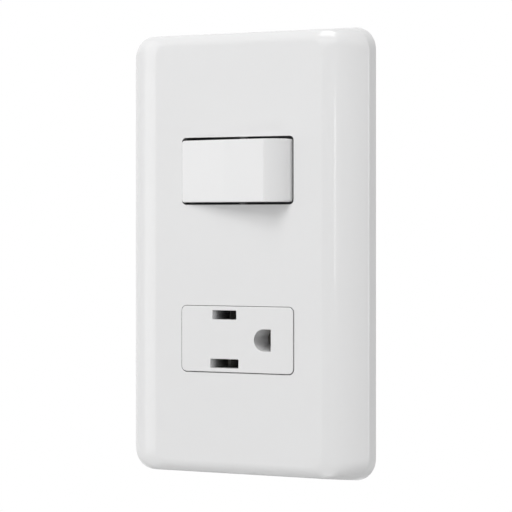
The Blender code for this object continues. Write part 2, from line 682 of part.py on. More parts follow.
def switch_collar():
    """The switch's front: a tub that the rocker tips in, with holes for its pins."""
    inner_width = WINDOW_WIDTH / 2 + 0.3 * MM
    inner_height = WINDOW_HEIGHT / 2 + 0.1 * MM
    opening = prism(rounded_rectangle(inner_width, inner_height, SWITCH_WINDOW_CORNER, 3,
                                      (0, SWITCH_Z)), "Y", MODULE_FRONT - MM, MODULE_FLOOR)
    tub, steps = module_front(SWITCH_Z, MODULE_FRONT, opening)
    reach = ROCKER_HALF_HEIGHT + PIN_LENGTH + FIT
    bearings = prism(circle((0, HINGE_DEPTH), PIN_RADIUS + FIT, 16), "Z",
                     SWITCH_Z - reach, SWITCH_Z + reach)
    half = STEM_WIDTH / 2
    stem_hole = box((-half - 2 * MM, half + 2 * MM), (MODULE_FLOOR - MM, MODULE_BACK + MM),
                    (SWITCH_Z - half - MM, SWITCH_Z + half + MM))
    return solid("switch_collar", "grey_plastic", tub, steps + [
        ("cut", bearings), ("cut", stem_hole)])


def housing_body(z):
    """A module's rear body with its side latches behind the strap."""
    half_width = HOUSING_WIDTH / 2
    half_height = MODULE_HEIGHT / 2
    body = prism(rounded_rectangle(half_width, half_height - 2 * FIT, MODULE_CORNER, 3, (0, z)),
                 "Y", STRAP_FRONT, HOUSING_BACK)
    catch = PLATE_DEPTH + FIT
    reach = half_width + FIT + LATCH_HOLD
    wedge = [(half_width - MM, catch), (reach, catch), (reach, catch + LATCH_LIP),
             (half_width - MM, catch + LATCH_RAMP)]
    latches = mirrored(prism(wedge, "Z", z - LATCH_WIDTH / 2, z + LATCH_WIDTH / 2))
    return body, [("add", latches)]


def terminal_pocket(x, z):
    """The space that opens at the back for one terminal screw, its clamp and a wire."""
    half_width = (POCKET_OUTER - POCKET_INNER) / 2
    return box((x - half_width, x + half_width), (POCKET_FLOOR, HOUSING_BACK + MM),
               (z - POCKET_HEIGHT / 2, z + POCKET_HEIGHT / 2))


def screw_well(x, z):
    depth = POCKET_FLOOR - SCREW_BITE
    return turned([(SCREW_RADIUS + FIT, depth), (SCREW_RADIUS + FIT, POCKET_FLOOR + FIT)], x, z, 16)


def strip_passage(x_from, x_to, z, half_height):
    return box((x_from, x_to), (POCKET_FLOOR, CHAMBER_FLOOR), (z - half_height, z + half_height))


def switch_housing():
    body, steps = housing_body(SWITCH_Z)
    chamber_half = POCKET_INNER - POCKET_WALL
    chamber = box((-chamber_half, chamber_half), (STRAP_FRONT - MM, CHAMBER_FLOOR),
                  (SWITCH_Z - CHAMBER_HEIGHT / 2, SWITCH_Z + CHAMBER_HEIGHT / 2))
    pockets = [terminal_pocket(x, SWITCH_Z) for x in (-TERMINAL_X, TERMINAL_X)]
    wells = [screw_well(x, SWITCH_Z) for x in (-TERMINAL_X, TERMINAL_X)]
    half_strip = STRIP_WIDTH / 2 + FIT
    passages = [strip_passage(-POCKET_INNER - FIT, -chamber_half + FIT, SWITCH_Z, half_strip),
                strip_passage(chamber_half - FIT, POCKET_INNER + FIT, SWITCH_Z, half_strip)]
    return solid("switch_housing", "grey_plastic", body, steps + [
        ("cut", chamber), ("cut", group(*pockets)), ("cut", group(*wells)),
        ("cut", group(*passages))])


def terminal_strip(x_from, x_to, z):
    half = STRIP_WIDTH / 2
    return box((x_from, x_to), (STRIP_DEPTH, STRIP_BACK), (z - half, z + half))


def screw_hole(x, z):
    return turned([(SCREW_RADIUS + FIT, STRIP_DEPTH - MM), (SCREW_RADIUS + FIT, STRIP_BACK + MM)],
                  x, z, 16)


def switch_contacts():
    """The see-saw, its rivet, and the two terminals under it."""
    strip_end = POCKET_OUTER - FIT
    half_fulcrum = FULCRUM_THICKNESS / 2
    fulcrum_top = ARM_PIVOT_DEPTH + ARM_THICKNESS / 2 + FIT
    half = STRIP_WIDTH / 2
    post = prism([(-half_fulcrum, STRIP_DEPTH + FIT), (-half_fulcrum, fulcrum_top + 0.6 * MM),
                  (-0.15 * MM, fulcrum_top), (0.15 * MM, fulcrum_top),
                  (half_fulcrum, fulcrum_top + 0.6 * MM), (half_fulcrum, STRIP_DEPTH + FIT)],
                 "Z", SWITCH_Z - half + FIT, SWITCH_Z + half - FIT)
    solid("common_terminal", "brass", terminal_strip(-strip_end, 2 * MM, SWITCH_Z), [
        ("add", post), ("cut", screw_hole(-TERMINAL_X, SWITCH_Z))])
    rivet_hole = turned([(RIVET_SHANK + FIT, STRIP_DEPTH - MM), (RIVET_SHANK + FIT, STRIP_BACK + MM)],
                        CONTACT_X, SWITCH_Z, 12)
    solid("load_terminal", "brass", terminal_strip(4 * MM, strip_end, SWITCH_Z), [
        ("cut", group(screw_hole(TERMINAL_X, SWITCH_Z), rivet_hole))])
    seat = STRIP_DEPTH - FIT
    fixed = [(0.7 * CONTACT_RADIUS, seat - CONTACT_THICKNESS),
             (CONTACT_RADIUS, seat - 0.5 * CONTACT_THICKNESS), (CONTACT_RADIUS, seat),
             (RIVET_SHANK, seat), (RIVET_SHANK, STRIP_BACK)]
    solid("fixed_contact", "silver", turned(fixed, CONTACT_X, SWITCH_Z, 14))
    contact_arm()


def contact_arm():
    rest = ARM_THROW / 2
    top = ARM_PIVOT_DEPTH - ARM_THICKNESS / 2
    bottom = ARM_PIVOT_DEPTH + ARM_THICKNESS / 2
    curl = 0.5 * MM
    outline = [(-ARM_LEFT, top - curl), (-ARM_LEFT / 2, top), (ARM_RIGHT, top),
               (ARM_RIGHT, bottom), (-ARM_LEFT / 2, bottom), (-ARM_LEFT, bottom - curl)]
    half = ARM_WIDTH / 2
    bar = prism(outline, "Z", SWITCH_Z - half, SWITCH_Z + half)
    hole = turned([(RIVET_SHANK + FIT, top - MM), (RIVET_SHANK + FIT, bottom + MM)],
                  CONTACT_X, SWITCH_Z, 12)
    solid("contact_arm", "copper", turn_about(bar, rest, ARM_PIVOT),
          [("cut", turn_about(hole, rest, ARM_PIVOT))], ARM_PIVOT)
    face = bottom + FIT
    rivet = [(RIVET_SHANK, top), (RIVET_SHANK, face), (CONTACT_RADIUS, face),
             (CONTACT_RADIUS, face + 0.5 * CONTACT_THICKNESS),
             (0.7 * CONTACT_RADIUS, face + CONTACT_THICKNESS)]
    body = turn_about(turned(rivet, CONTACT_X, SWITCH_Z, 14), rest, ARM_PIVOT)
    solid("moving_contact", "silver", body, origin=ARM_PIVOT)


def terminal_screw(name, x, z):
    """A terminal screw with its square clamp, both reached from the back."""
    tip = POCKET_FLOOR - SCREW_BITE + FIT
    screw(f"{name}_screw", x, z, CLAMP_BACK + FIT, tip)
    half_width = (POCKET_OUTER - POCKET_INNER) / 2 - FIT
    half_height = CLAMP_HEIGHT / 2
    plate = box((x - half_width, x + half_width), (CLAMP_FRONT, CLAMP_BACK),
                (z - half_height, z + half_height))
    hole = turned([(SCREW_RADIUS + FIT, CLAMP_FRONT - MM), (SCREW_RADIUS + FIT, CLAMP_BACK + MM)],
                  x, z, 16)
    solid(f"{name}_clamp", "zinc_steel", plate, [("cut", hole)])


def slot_box(length, z):
    return box((SLOT_X - length / 2, SLOT_X + length / 2), (-MM, MODULE_BACK + MM),
               (z - SLOT_HEIGHT / 2, z + SLOT_HEIGHT / 2))


def ground_outline(grow):
    """The D-shaped ground hole: round towards the blade slots, flat on the far side."""
    radius = GROUND_RADIUS + grow
    flat = GROUND_X + GROUND_FLAT + grow
    points = [(flat, SOCKET_Z - radius), (flat, SOCKET_Z + radius)]
    steps = 12
    for step in range(steps + 1):
        angle = math.pi / 2 + math.pi * step / steps
        points.append((GROUND_X + radius * math.cos(angle), SOCKET_Z + radius * math.sin(angle)))
    return points


def socket_face():
    """The socket's front: a face that fills its window, hollow behind, with slot walls."""
    face_half_width = WINDOW_WIDTH / 2 - FIT
    face_half_height = WINDOW_HEIGHT / 2 - FIT
    face = prism(rounded_rectangle(face_half_width, face_half_height, SOCKET_WINDOW_CORNER - FIT,
                                   4, (0, SOCKET_Z)), "Y", -FACE_PROUD, MODULE_FRONT + MM)
    hollow = prism(rounded_rectangle(face_half_width - 1.2 * MM, face_half_height - MM, MM, 3,
                                     (0, SOCKET_Z)), "Y", FACE_WALL, MODULE_BACK + MM)
    tub, steps = module_front(SOCKET_Z, MODULE_FRONT, hollow)
    tube = prism(ground_outline(GROUND_TUBE_WALL), "Y", FACE_WALL - MM, MODULE_FLOOR)
    slots = [slot_box(LINE_SLOT_LENGTH, SOCKET_Z + SLOT_PITCH / 2),
             slot_box(NEUTRAL_SLOT_LENGTH, SOCKET_Z - SLOT_PITCH / 2)]
    ground = prism(ground_outline(0), "Y", -MM, MODULE_BACK + MM)
    return solid("socket_face", "white_plastic", tub, [("add", face)] + steps + [
        ("add", tube), ("cut", group(*slots, ground))])


def socket_terminals():
    """Each socket terminal's name, screw x and screw z."""
    return [("line", -TERMINAL_X, SOCKET_Z + TERMINAL_LANE),
            ("neutral", -TERMINAL_X, SOCKET_Z - TERMINAL_LANE), ("ground", TERMINAL_X, SOCKET_Z)]


def socket_housing():
    body, steps = housing_body(SOCKET_Z)
    blade_half = LEAF_LENGTH / 2 + 2 * FIT
    tall_half = BLADE_CHAMBER_HEIGHT / 2
    chambers = [box((SLOT_X - blade_half, SLOT_X + blade_half), (STRAP_FRONT - MM, CHAMBER_FLOOR),
                    (z - tall_half, z + tall_half))
                for z in (SOCKET_Z + SLOT_PITCH / 2, SOCKET_Z - SLOT_PITCH / 2)]
    sleeve = GROUND_PIN / 2 + LEAF_THICKNESS + 2 * FIT
    chambers.append(box((GROUND_X - sleeve, GROUND_X + sleeve), (STRAP_FRONT - MM, CHAMBER_FLOOR),
                        (SOCKET_Z - sleeve, SOCKET_Z + sleeve)))
    pockets = []
    wells = []
    passages = []
    half_strip = STRIP_WIDTH / 2 + FIT
    for _, x, z in socket_terminals():
        pockets.append(terminal_pocket(x, z))
        wells.append(screw_well(x, z))
        ends = (x, SLOT_X + FIT) if x < 0 else (GROUND_X, x)
        passages.append(strip_passage(*ends, z, half_strip))
    return solid("socket_housing", "white_resin", body, steps + [
        ("cut", group(*chambers)), ("cut", group(*pockets)), ("cut", group(*wells)),
        ("cut", group(*passages))])


def blade_contact(name, side, x, z):
    """A folded strip: a U of two leaves for the blade, and a tab for the screw."""
    middle = SOCKET_Z + side * SLOT_PITCH / 2
    throat = 0.4 * BLADE_THICKNESS
    open_gap = BLADE_THICKNESS / 2 + 0.45 * MM
    lip = open_gap + 0.3 * MM
    waist = LEAF_FRONT + 3 * MM
    leaf = [(LEAF_FRONT, lip), (waist, throat), (waist + 4 * MM, open_gap), (STRIP_DEPTH + FIT, open_gap)]
    outline = leaf + [(depth, gap + LEAF_THICKNESS) for depth, gap in reversed(leaf)]
    length = (SLOT_X - LEAF_LENGTH / 2, SLOT_X + LEAF_LENGTH / 2)
    leaves = [prism([(depth, middle + hand * gap) for depth, gap in outline], "X", *length)
              for hand in (1, -1)]
    base = box(length, (STRIP_DEPTH, STRIP_BACK), (middle - open_gap - LEAF_THICKNESS - FIT / 3,
                                                   middle + open_gap + LEAF_THICKNESS + FIT / 3))
    tab = box((-POCKET_OUTER + FIT, SLOT_X), (STRIP_DEPTH + 0.05 * MM, STRIP_BACK - 0.05 * MM),
              (z - STRIP_WIDTH / 2, z + STRIP_WIDTH / 2))
    return solid(name, "brass", base, [("add", group(*leaves)), ("add", tab),
                                       ("cut", screw_hole(x, z))])


def ground_contact(x, z):
    """A split spring sleeve for the round pin, standing on its strip."""
    inner = GROUND_PIN / 2 - 0.15 * MM
    outer = inner + LEAF_THICKNESS
    gap = math.radians(35)
    steps = 14
    angles = [gap + (2 * math.pi - 2 * gap) * step / steps for step in range(steps + 1)]
    ring = [(GROUND_X + outer * math.cos(a), SOCKET_Z + outer * math.sin(a)) for a in angles]
    ring += [(GROUND_X + inner * math.cos(a), SOCKET_Z + inner * math.sin(a))
             for a in reversed(angles)]
    sleeve = prism(ring, "Y", LEAF_FRONT, STRIP_DEPTH + FIT)
    strip = terminal_strip(GROUND_X - outer, POCKET_OUTER - FIT, z)
    return solid("ground_contact", "brass", strip, [("add", sleeve), ("cut", screw_hole(x, z))])


def socket_contacts():
    for name, x, z in socket_terminals():
        terminal_screw(name, x, z)
        if name == "ground":
            ground_contact(x, z)
        else:
            blade_contact(f"{name}_contact", 1 if name == "line" else -1, x, z)


def main():
    clear_scene()
    cover_plate()
    plate_frame()
    mounting_strap()
    plate_screws()
    rocker()
    plunger()
    plunger_spring()
    switch_collar()
    switch_housing()
    switch_contacts()
    terminal_screw("common", -TERMINAL_X, SWITCH_Z)
    terminal_screw("load", TERMINAL_X, SWITCH_Z)
    socket_face()
    socket_housing()
    socket_contacts()


main()
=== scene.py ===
import json
import math

import bmesh
import bpy
from mathutils import Matrix, Vector


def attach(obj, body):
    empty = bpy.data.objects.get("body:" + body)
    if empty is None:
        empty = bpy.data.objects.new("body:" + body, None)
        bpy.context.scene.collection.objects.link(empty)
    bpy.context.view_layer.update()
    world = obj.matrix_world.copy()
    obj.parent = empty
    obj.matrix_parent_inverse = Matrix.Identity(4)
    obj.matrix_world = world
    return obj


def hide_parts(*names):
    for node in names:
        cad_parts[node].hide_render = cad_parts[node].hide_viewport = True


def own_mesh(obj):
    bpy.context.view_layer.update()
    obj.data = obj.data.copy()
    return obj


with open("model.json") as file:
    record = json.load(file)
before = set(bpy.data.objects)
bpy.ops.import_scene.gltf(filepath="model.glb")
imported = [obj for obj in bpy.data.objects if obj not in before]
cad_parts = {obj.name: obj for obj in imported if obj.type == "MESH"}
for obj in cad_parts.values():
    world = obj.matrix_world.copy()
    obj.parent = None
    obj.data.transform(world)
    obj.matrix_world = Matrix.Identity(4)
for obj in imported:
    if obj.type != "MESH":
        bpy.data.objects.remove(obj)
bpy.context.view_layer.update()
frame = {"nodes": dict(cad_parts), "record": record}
nodes = frame["nodes"]
print("frame loaded:", len(nodes), "nodes")

# All lengths of the pieces are in millimetres; addPiece brings them to metres.
# Shading, stage and view are in metres.
# X runs to the right, Z up and Y into the wall, from the middle of the plate's flat front.
toMetres, toMillimetres = 0.001, 1000


def roundedOutline(halfWidth, halfHeight, radius, steps, centre=(0, 0)):
    # goes round from the right end of the top right corner
    points = []
    for corner in range(4):
        middleX = halfWidth - radius if corner in (0, 3) else radius - halfWidth
        middleZ = halfHeight - radius if corner in (0, 1) else radius - halfHeight
        for step in range(steps + 1):
            angle = math.pi / 2 * (corner + step / steps)
            points.append((centre[0] + middleX + radius * math.cos(angle),
                           centre[1] + middleZ + radius * math.sin(angle)))
    return points


def circleOutline(centre, radius, steps):
    angles = [2 * math.pi * step / steps for step in range(steps)]
    return [(centre[0] + radius * math.cos(a), centre[1] + radius * math.sin(a)) for a in angles]


def arcPoints(start, end, startAngle, steps):
    # points after start on the arc that leaves it at startAngle
    across, along = end[0] - start[0], end[1] - start[1]
    chord = math.hypot(across, along)
    turn = 2 * (math.atan2(along, across) - startAngle)
    radius = chord / (2 * math.sin(turn / 2))
    points = []
    for step in range(1, steps + 1):
        part = turn * step / steps
        reach = 2 * radius * math.sin(part / 2)
        angle = startAngle + part / 2
        points.append((start[0] + reach * math.cos(angle), start[1] + reach * math.sin(angle)))
    return points


def atDepth(outline, depth):
    return [(x, depth, z) for x, z in outline]


def atHeight(outline, height):
    return [(x, y, height) for x, y in outline]


def ring(bm, points):
    return [bm.verts.new(point) for point in points]


def bridge(bm, first, second):
    count = len(first)
    for index in range(count):
        after = (index + 1) % count
        bm.faces.new((first[index], first[after], second[after], second[index]))


def ringsThrough(bm, pointRings):
    rows = [ring(bm, points) for points in pointRings]
    for row, following in zip(rows, rows[1:]):
        bridge(bm, row, following)
    return rows


def fillBetween(bm, *loops):
    # a flat face with holes, from loops of points that lie in one plane
    edges = []
    for loop in loops:
        for index, vert in enumerate(loop):
            after = loop[(index + 1) % len(loop)]
            edges.append(bm.edges.get((vert, after)) or bm.edges.new((vert, after)))
    bmesh.ops.triangle_fill(bm, use_beauty=True, edges=edges)


def closedShell(bm, pointRings):
    rows = ringsThrough(bm, pointRings)
    bm.faces.new(rows[0])
    bm.faces.new(rows[-1])
    return rows


def chamferedBox(bm, xRange, yRange, zRange, chamfer=0.15, turn=None):
    rows = []
    for depth, inset in ((yRange[0], chamfer), (yRange[0] + chamfer, 0),
                         (yRange[1] - chamfer, 0), (yRange[1], chamfer)):
        low = (xRange[0] + inset, zRange[0] + inset)
        high = (xRange[1] - inset, zRange[1] - inset)
        rows.append([(low[0], depth, low[1]), (high[0], depth, low[1]),
                     (high[0], depth, high[1]), (low[0], depth, high[1])])
    if turn:
        rows = [[turn @ Vector(point) for point in row] for row in rows]
    closedShell(bm, rows)


def turnAbout(degrees, x, y):
    pivot = Vector((x, y, 0))
    spin = Matrix.Rotation(math.radians(degrees), 4, "Z")
    return Matrix.Translation(pivot) @ spin @ Matrix.Translation(-pivot)


def meshObject(name, bm):
    data = bpy.data.meshes.new(name)
    bm.to_mesh(data)
    bm.free()
    thing = bpy.data.objects.new(name, data)
    bpy.context.scene.collection.objects.link(thing)
    return thing


def addPiece(name, bm, body, material, replaced=(), smooth=32):
    bmesh.ops.recalc_face_normals(bm, faces=bm.faces)
    bm.transform(Matrix.Scale(toMetres, 4))
    piece = meshObject(name, bm)
    data = piece.data
    data.materials.append(material)
    data.shade_smooth()
    data.set_sharp_from_angle(angle=math.radians(smooth))
    weighted = piece.modifiers.new("evenNormals", "WEIGHTED_NORMAL")
    weighted.keep_sharp = True
    weighted.weight = 90
    if replaced:
        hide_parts(*replaced)
    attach(piece, body)
    print("made", name, len(data.vertices), "points")
    return piece


# painted shade: within reach, ambient occlusion between dark and clear turns the base colour to the
# dark tone; the gap shade goes on every plastic, the chamber shade on the brass, the shaft shade on
# the slot walls
paintedGapShade = {"reach": 0.0016, "dark": 0.18, "clear": 0.44, "tone": (0.004, 0.004, 0.005, 1)}
paintedChamberShade = {"reach": 0.006, "dark": 0.20, "clear": 0.75, "tone": (0.006, 0.006, 0.007, 1)}
paintedShaftShade = {"reach": 0.011, "dark": 0.038, "clear": 0.105, "tone": (0.003, 0.003, 0.004, 1)}
gapSamples = 6
coatRoughness = 0.07


def newGroup(name, inputs, outputs):
    group = bpy.data.node_groups.new(name, "ShaderNodeTree")
    for label, kind, value in inputs:
        socket = group.interface.new_socket(label, in_out="INPUT", socket_type=kind)
        if value is not None:
            socket.default_value = value
    for label, kind in outputs:
        group.interface.new_socket(label, in_out="OUTPUT", socket_type=kind)
    return group, group.nodes.new("NodeGroupInput"), group.nodes.new("NodeGroupOutput")


def noiseNode(tree, vector, scale, detail, roughness=0.5):
    noise = tree.nodes.new("ShaderNodeTexNoise")
    noise.inputs["Detail"].default_value = detail
    noise.inputs["Roughness"].default_value = roughness
    if isinstance(scale, (int, float)):
        noise.inputs["Scale"].default_value = scale
    else:
        tree.links.new(scale, noise.inputs["Scale"])
    tree.links.new(vector, noise.inputs["Vector"])
    return noise


def mathNode(tree, operation, first, second):
    node = tree.nodes.new("ShaderNodeMath")
    node.operation = operation
    for socket, value in zip(node.inputs, (first, second)):
        if isinstance(value, (int, float)):
            socket.default_value = value
        else:
            tree.links.new(value, socket)
    return node.outputs[0]


def spread(tree, factor, low, high):
    # brings a 0 to 1 value into the range low to high
    node = tree.nodes.new("ShaderNodeMapRange")
    tree.links.new(factor, node.inputs["Value"])
    for label, value in (("To Min", low), ("To Max", high)):
        if isinstance(value, (int, float)):
            node.inputs[label].default_value = value
        else:
            tree.links.new(value, node.inputs[label])
    return node.outputs["Result"]


skinOutputs = [("Colour", "NodeSocketColor"), ("Roughness", "NodeSocketFloat"),
               ("Height", "NodeSocketFloat")]
drawnLines = (260, 2600, 2600)


def makeMouldedGroup():
    # moulded plastic: slow tone drift, fine skin of the mould, and a roughness that varies with it
    group, entry, exit = newGroup("mouldedSkin", [
        ("Skin Scale", "NodeSocketFloat", 900.0),
        ("Drift Scale", "NodeSocketFloat", 45.0),
        ("Roughness", "NodeSocketFloat", 0.3),
        ("Unevenness", "NodeSocketFloat", 0.04),
        ("Light Tone", "NodeSocketColor", (0.8, 0.8, 0.8, 1)),
        ("Dark Tone", "NodeSocketColor", (0.78, 0.78, 0.78, 1)),
    ], skinOutputs)
    place = group.nodes.new("ShaderNodeTexCoord")
    skin = noiseNode(group, place.outputs["Object"], entry.outputs["Skin Scale"], 3)
    drift = noiseNode(group, place.outputs["Object"], entry.outputs["Drift Scale"], 2)
    tone = group.nodes.new("ShaderNodeMix")
    tone.data_type = "RGBA"
    group.links.new(drift.outputs["Fac"], tone.inputs[0])
    group.links.new(entry.outputs["Light Tone"], tone.inputs[6])
    group.links.new(entry.outputs["Dark Tone"], tone.inputs[7])
    uneven = mathNode(group, "MULTIPLY", mathNode(group, "SUBTRACT", skin.outputs["Fac"], 0.5),
                      entry.outputs["Unevenness"])
    group.links.new(tone.outputs[2], exit.inputs["Colour"])
    group.links.new(mathNode(group, "ADD", entry.outputs["Roughness"], uneven),
                    exit.inputs["Roughness"])
    group.links.new(skin.outputs["Fac"], exit.inputs["Height"])
    return group


def makeMetalGroup():
    # rolled and plated metal: fine drawn lines and cloudy plating set tone and roughness
    group, entry, exit = newGroup("rolledMetal", [
        ("Line Scale", "NodeSocketFloat", 1.0),
        ("Cloud Scale", "NodeSocketFloat", 160.0),
        ("Smoothest", "NodeSocketFloat", 0.22),
        ("Roughest", "NodeSocketFloat", 0.42),
        ("Bright", "NodeSocketColor", (0.7, 0.7, 0.7, 1)),
        ("Dull", "NodeSocketColor", (0.5, 0.5, 0.5, 1)),
    ], skinOutputs)
    place = group.nodes.new("ShaderNodeTexCoord")
    stretch = group.nodes.new("ShaderNodeMapping")
    stretch.inputs["Scale"].default_value = drawnLines
    group.links.new(place.outputs["Object"], stretch.inputs["Vector"])
    lines = noiseNode(group, stretch.outputs["Vector"], entry.outputs["Line Scale"], 3, 0.6)
    clouds = noiseNode(group, place.outputs["Object"], entry.outputs["Cloud Scale"], 4, 0.6)
    tone = group.nodes.new("ShaderNodeMix")
    tone.data_type = "RGBA"
    mixed = mathNode(group, "MULTIPLY", mathNode(group, "ADD", clouds.outputs["Fac"],
                                                 lines.outputs["Fac"]), 0.5)
    group.links.new(mixed, tone.inputs[0])
    group.links.new(entry.outputs["Bright"], tone.inputs[6])
    group.links.new(entry.outputs["Dull"], tone.inputs[7])
    group.links.new(tone.outputs[2], exit.inputs["Colour"])
    group.links.new(spread(group, mixed, entry.outputs["Smoothest"], entry.outputs["Roughest"]),
                    exit.inputs["Roughness"])
    group.links.new(lines.outputs["Fac"], exit.inputs["Height"])
    return group


mouldedSkin = makeMouldedGroup()
rolledMetal = makeMetalGroup()


def paintShadeInGaps(tree, colour, shade):
    # painted shade: turns the colour dark where other surfaces close it in, as far off as the shade
    # reaches
    near = tree.nodes.new("ShaderNodeAmbientOcclusion")
    near.samples = gapSamples
    near.inputs["Distance"].default_value = shade["reach"]
    clear = tree.nodes.new("ShaderNodeMapRange")
    tree.links.new(near.outputs["AO"], clear.inputs["Value"])
    clear.inputs["From Min"].default_value = shade["dark"]
    clear.inputs["From Max"].default_value = shade["clear"]
    tone = tree.nodes.new("ShaderNodeMix")
    tone.data_type = "RGBA"
    tree.links.new(clear.outputs["Result"], tone.inputs[0])
    tone.inputs[6].default_value = shade["tone"]
    tree.links.new(colour, tone.inputs[7])
    return tone.outputs[2]


def makeMaterial(name, group, values, bump, shade, metallic=0.0, specular=0.5, coat=0.0):
    material = bpy.data.materials.new(name)
    material.use_nodes = True
    tree = material.node_tree
    shader = tree.nodes["Principled BSDF"]
    surface = tree.nodes.new("ShaderNodeGroup")
    surface.node_tree = group
    for label, value in values.items():
        surface.inputs[label].default_value = value
    relief = tree.nodes.new("ShaderNodeBump")
    relief.inputs["Strength"].default_value = bump[0]
    relief.inputs["Distance"].default_value = bump[1]
    colour = surface.outputs["Colour"]
    # painted shade on the base colour where the piece is closed in
    if shade:
        colour = paintShadeInGaps(tree, colour, shade)
    tree.links.new(colour, shader.inputs["Base Color"])
    tree.links.new(surface.outputs["Roughness"], shader.inputs["Roughness"])
    tree.links.new(surface.outputs["Height"], relief.inputs["Height"])
    tree.links.new(relief.outputs["Normal"], shader.inputs["Normal"])
    shader.inputs["Metallic"].default_value = metallic
    shader.inputs["Specular IOR Level"].default_value = specular
    shader.inputs["Coat Weight"].default_value = coat
    shader.inputs["Coat Roughness"].default_value = coatRoughness
    return material


def plastic(name, light, dark, roughness, unevenness, skinScale, bump, coat=0.0, shade=paintedGapShade,
            specular=0.5):
    return makeMaterial(name, mouldedSkin, {
        "Skin Scale": skinScale, "Roughness": roughness, "Unevenness": unevenness,
        "Light Tone": (*light, 1), "Dark Tone": (*dark, 1)}, bump, shade, 0.0, specular, coat)


def metal(name, bright, dull, smoothest, roughest, cloudScale, bump, shade=None):
    return makeMaterial(name, rolledMetal, {
        "Cloud Scale": cloudScale, "Smoothest": smoothest, "Roughest": roughest,
        "Bright": (*bright, 1), "Dull": (*dull, 1)}, bump, shade, 1.0)


finishes = {
    "white_plastic": plastic("white_plastic", (0.785, 0.785, 0.787), (0.772, 0.772, 0.774),
                             0.30, 0.05, 1400, (0.10, 0.00002), 0.4),
    "grey_plastic": plastic("grey_plastic", (0.20, 0.205, 0.21), (0.17, 0.175, 0.18),
                            0.48, 0.16, 2600, (0.35, 0.00004)),
    "white_resin": plastic("white_resin", (0.70, 0.695, 0.67), (0.66, 0.655, 0.625),
                           0.44, 0.12, 2200, (0.30, 0.00003)),
    "zinc_steel": metal("zinc_steel", (0.66, 0.67, 0.69), (0.50, 0.51, 0.52),
                        0.24, 0.44, 170, (0.12, 0.00002)),
    # painted shade: the brass turns dark where other surfaces close it in, as in the chamber of the
    # contacts
    "brass": metal("brass", (0.80, 0.60, 0.30), (0.62, 0.43, 0.18),
                   0.22, 0.42, 240, (0.12, 0.00002), paintedChamberShade),
    "copper": metal("copper", (0.86, 0.48, 0.32), (0.62, 0.30, 0.19),
                    0.24, 0.40, 260, (0.12, 0.00002)),
    "silver": metal("silver", (0.88, 0.87, 0.84), (0.70, 0.68, 0.64),
                    0.18, 0.36, 400, (0.10, 0.00001)),
    "spring_steel": metal("spring_steel", (0.50, 0.50, 0.51), (0.32, 0.32, 0.33),
                          0.22, 0.36, 420, (0.12, 0.00001)),
}
# the slot walls: a lighter copy of the white plastic, with painted light near the mouth and painted
# shade that turns it near black deeper in
slotWallPaintedLightAndShade = plastic("slotWallPaintedLightAndShade", (0.90, 0.90, 0.905), (0.88, 0.88, 0.885),
                     0.34, 0.05, 1400, (0.10, 0.00002), 0.0, paintedShaftShade, 0.12)
slotOf = {part["node"]: part["material_slot"] for part in frame["record"]["subparts"]}
for node, slot in slotOf.items():
    for index in range(len(nodes[node].material_slots)):
        nodes[node].material_slots[index].material = finishes[slot]
print("materials made:", len(finishes))


cover = {
    "width": 71.5, "height": 116.6, "depth": 10.0, "rise": 6.2, "wall": 2.0, "cavityRise": 4.8,
    "rimCorner": 5.8, "flatCorner": 3.0, "cornerSteps": 12,
    "slopeWidth": 10.5, "slopeStart": 8.0, "slopeRings": 14,
    "endCurve": 5.0, "endTurn": 33.0, "endEdge": 1.0, "endDraft": 5.3,
    "rimEdge": 0.30, "rimBlend": 0.8, "backEdge": 0.25,
    "windowDraft": 0.3, "windowEdge": 0.12,
    "switchWindow": {"z": 21.567, "halfWidth": 16.95, "halfHeight": 8.792, "corner": 1.1},
    "socketWindow": {"z": -22.4, "halfWidth": 17.12, "halfHeight": 8.735, "corner": 1.5},
    "ribX": (22.0, 23.0), "ribTop": 43.75, "ribDepth": 5.0, "ribLap": 0.3,
    "crossRibs": (-39.75, 0.0, 39.75), "crossRibHalf": 0.5, "crossRibLower": 0.3,
    "hookX": 29.5, "hookZ": 30.0, "hookWidth": 7.0, "hookThickness": 1.4,
    "hookSpan": (3.2, 9.8), "noseReach": 1.5, "noseSpan": (8.8, 9.1),
}


def slopeInset(part, rise):
    start = math.radians(cover["slopeStart"])
    width, fullRise = cover["slopeWidth"], cover["rise"]
    end = 2 * math.atan2(fullRise, width) - start
    radius = width / (math.sin(end) - math.sin(start))
    cosine = math.cos(start) - part * fullRise / radius
    run = radius * (math.sqrt(1 - cosine * cosine) - math.sin(start))
    return (width - run) * rise / fullRise


def plateRing(side, end, inward, depth, steps):
    closeness = 1 - side / cover["slopeWidth"]
    corner = cover["flatCorner"] + (cover["rimCorner"] - cover["flatCorner"]) * closeness
    outline = roundedOutline(cover["width"] / 2 - inward - side,
                             cover["height"] / 2 - inward - end, corner - 0.5 * inward, steps)
    return atDepth(outline, depth)


def endProfile(steps):
    # an end of the plate as (run, depth) from its flat: a slow curve, then a tight edge
    slow, tight = cover["endCurve"], cover["endEdge"]
    bend, draft = math.radians(cover["endTurn"]), math.radians(cover["endDraft"])
    points = [(slow * math.sin(bend * step / steps), slow * (1 - math.cos(bend * step / steps)))
              for step in range(steps + 1)]
    run, depth = points[-1]
    for step in range(1, steps + 1):
        angle = bend + (math.pi / 2 - draft - bend) * step / steps
        points.append((run + tight * (math.sin(angle) - math.sin(bend)),
                       depth + tight * (math.cos(bend) - math.cos(angle))))
    return points


def endInset(run, depth):
    lastRun, lastDepth = endProfile(1)[-1]
    slant = math.tan(math.radians(cover["endDraft"]))
    if depth >= lastDepth:
        return (cover["depth"] - depth) * slant
    return (cover["depth"] - lastDepth) * slant + lastRun - run


def domeRings(inward, front, rise, endSteps, sideSteps, upTo=1.0):
    profile = endProfile(endSteps)
    last = profile[-1][1]
    reach = upTo * cover["rise"] - last
    profile += [(0, last + reach * step / sideSteps) for step in range(1, sideSteps + 1)]
    made = []
    for run, depth in profile:
        part = depth / cover["rise"]
        made.append(plateRing(slopeInset(part, rise), endInset(run, depth), inward,
                              front + part * rise, cover["cornerSteps"]))
    return made


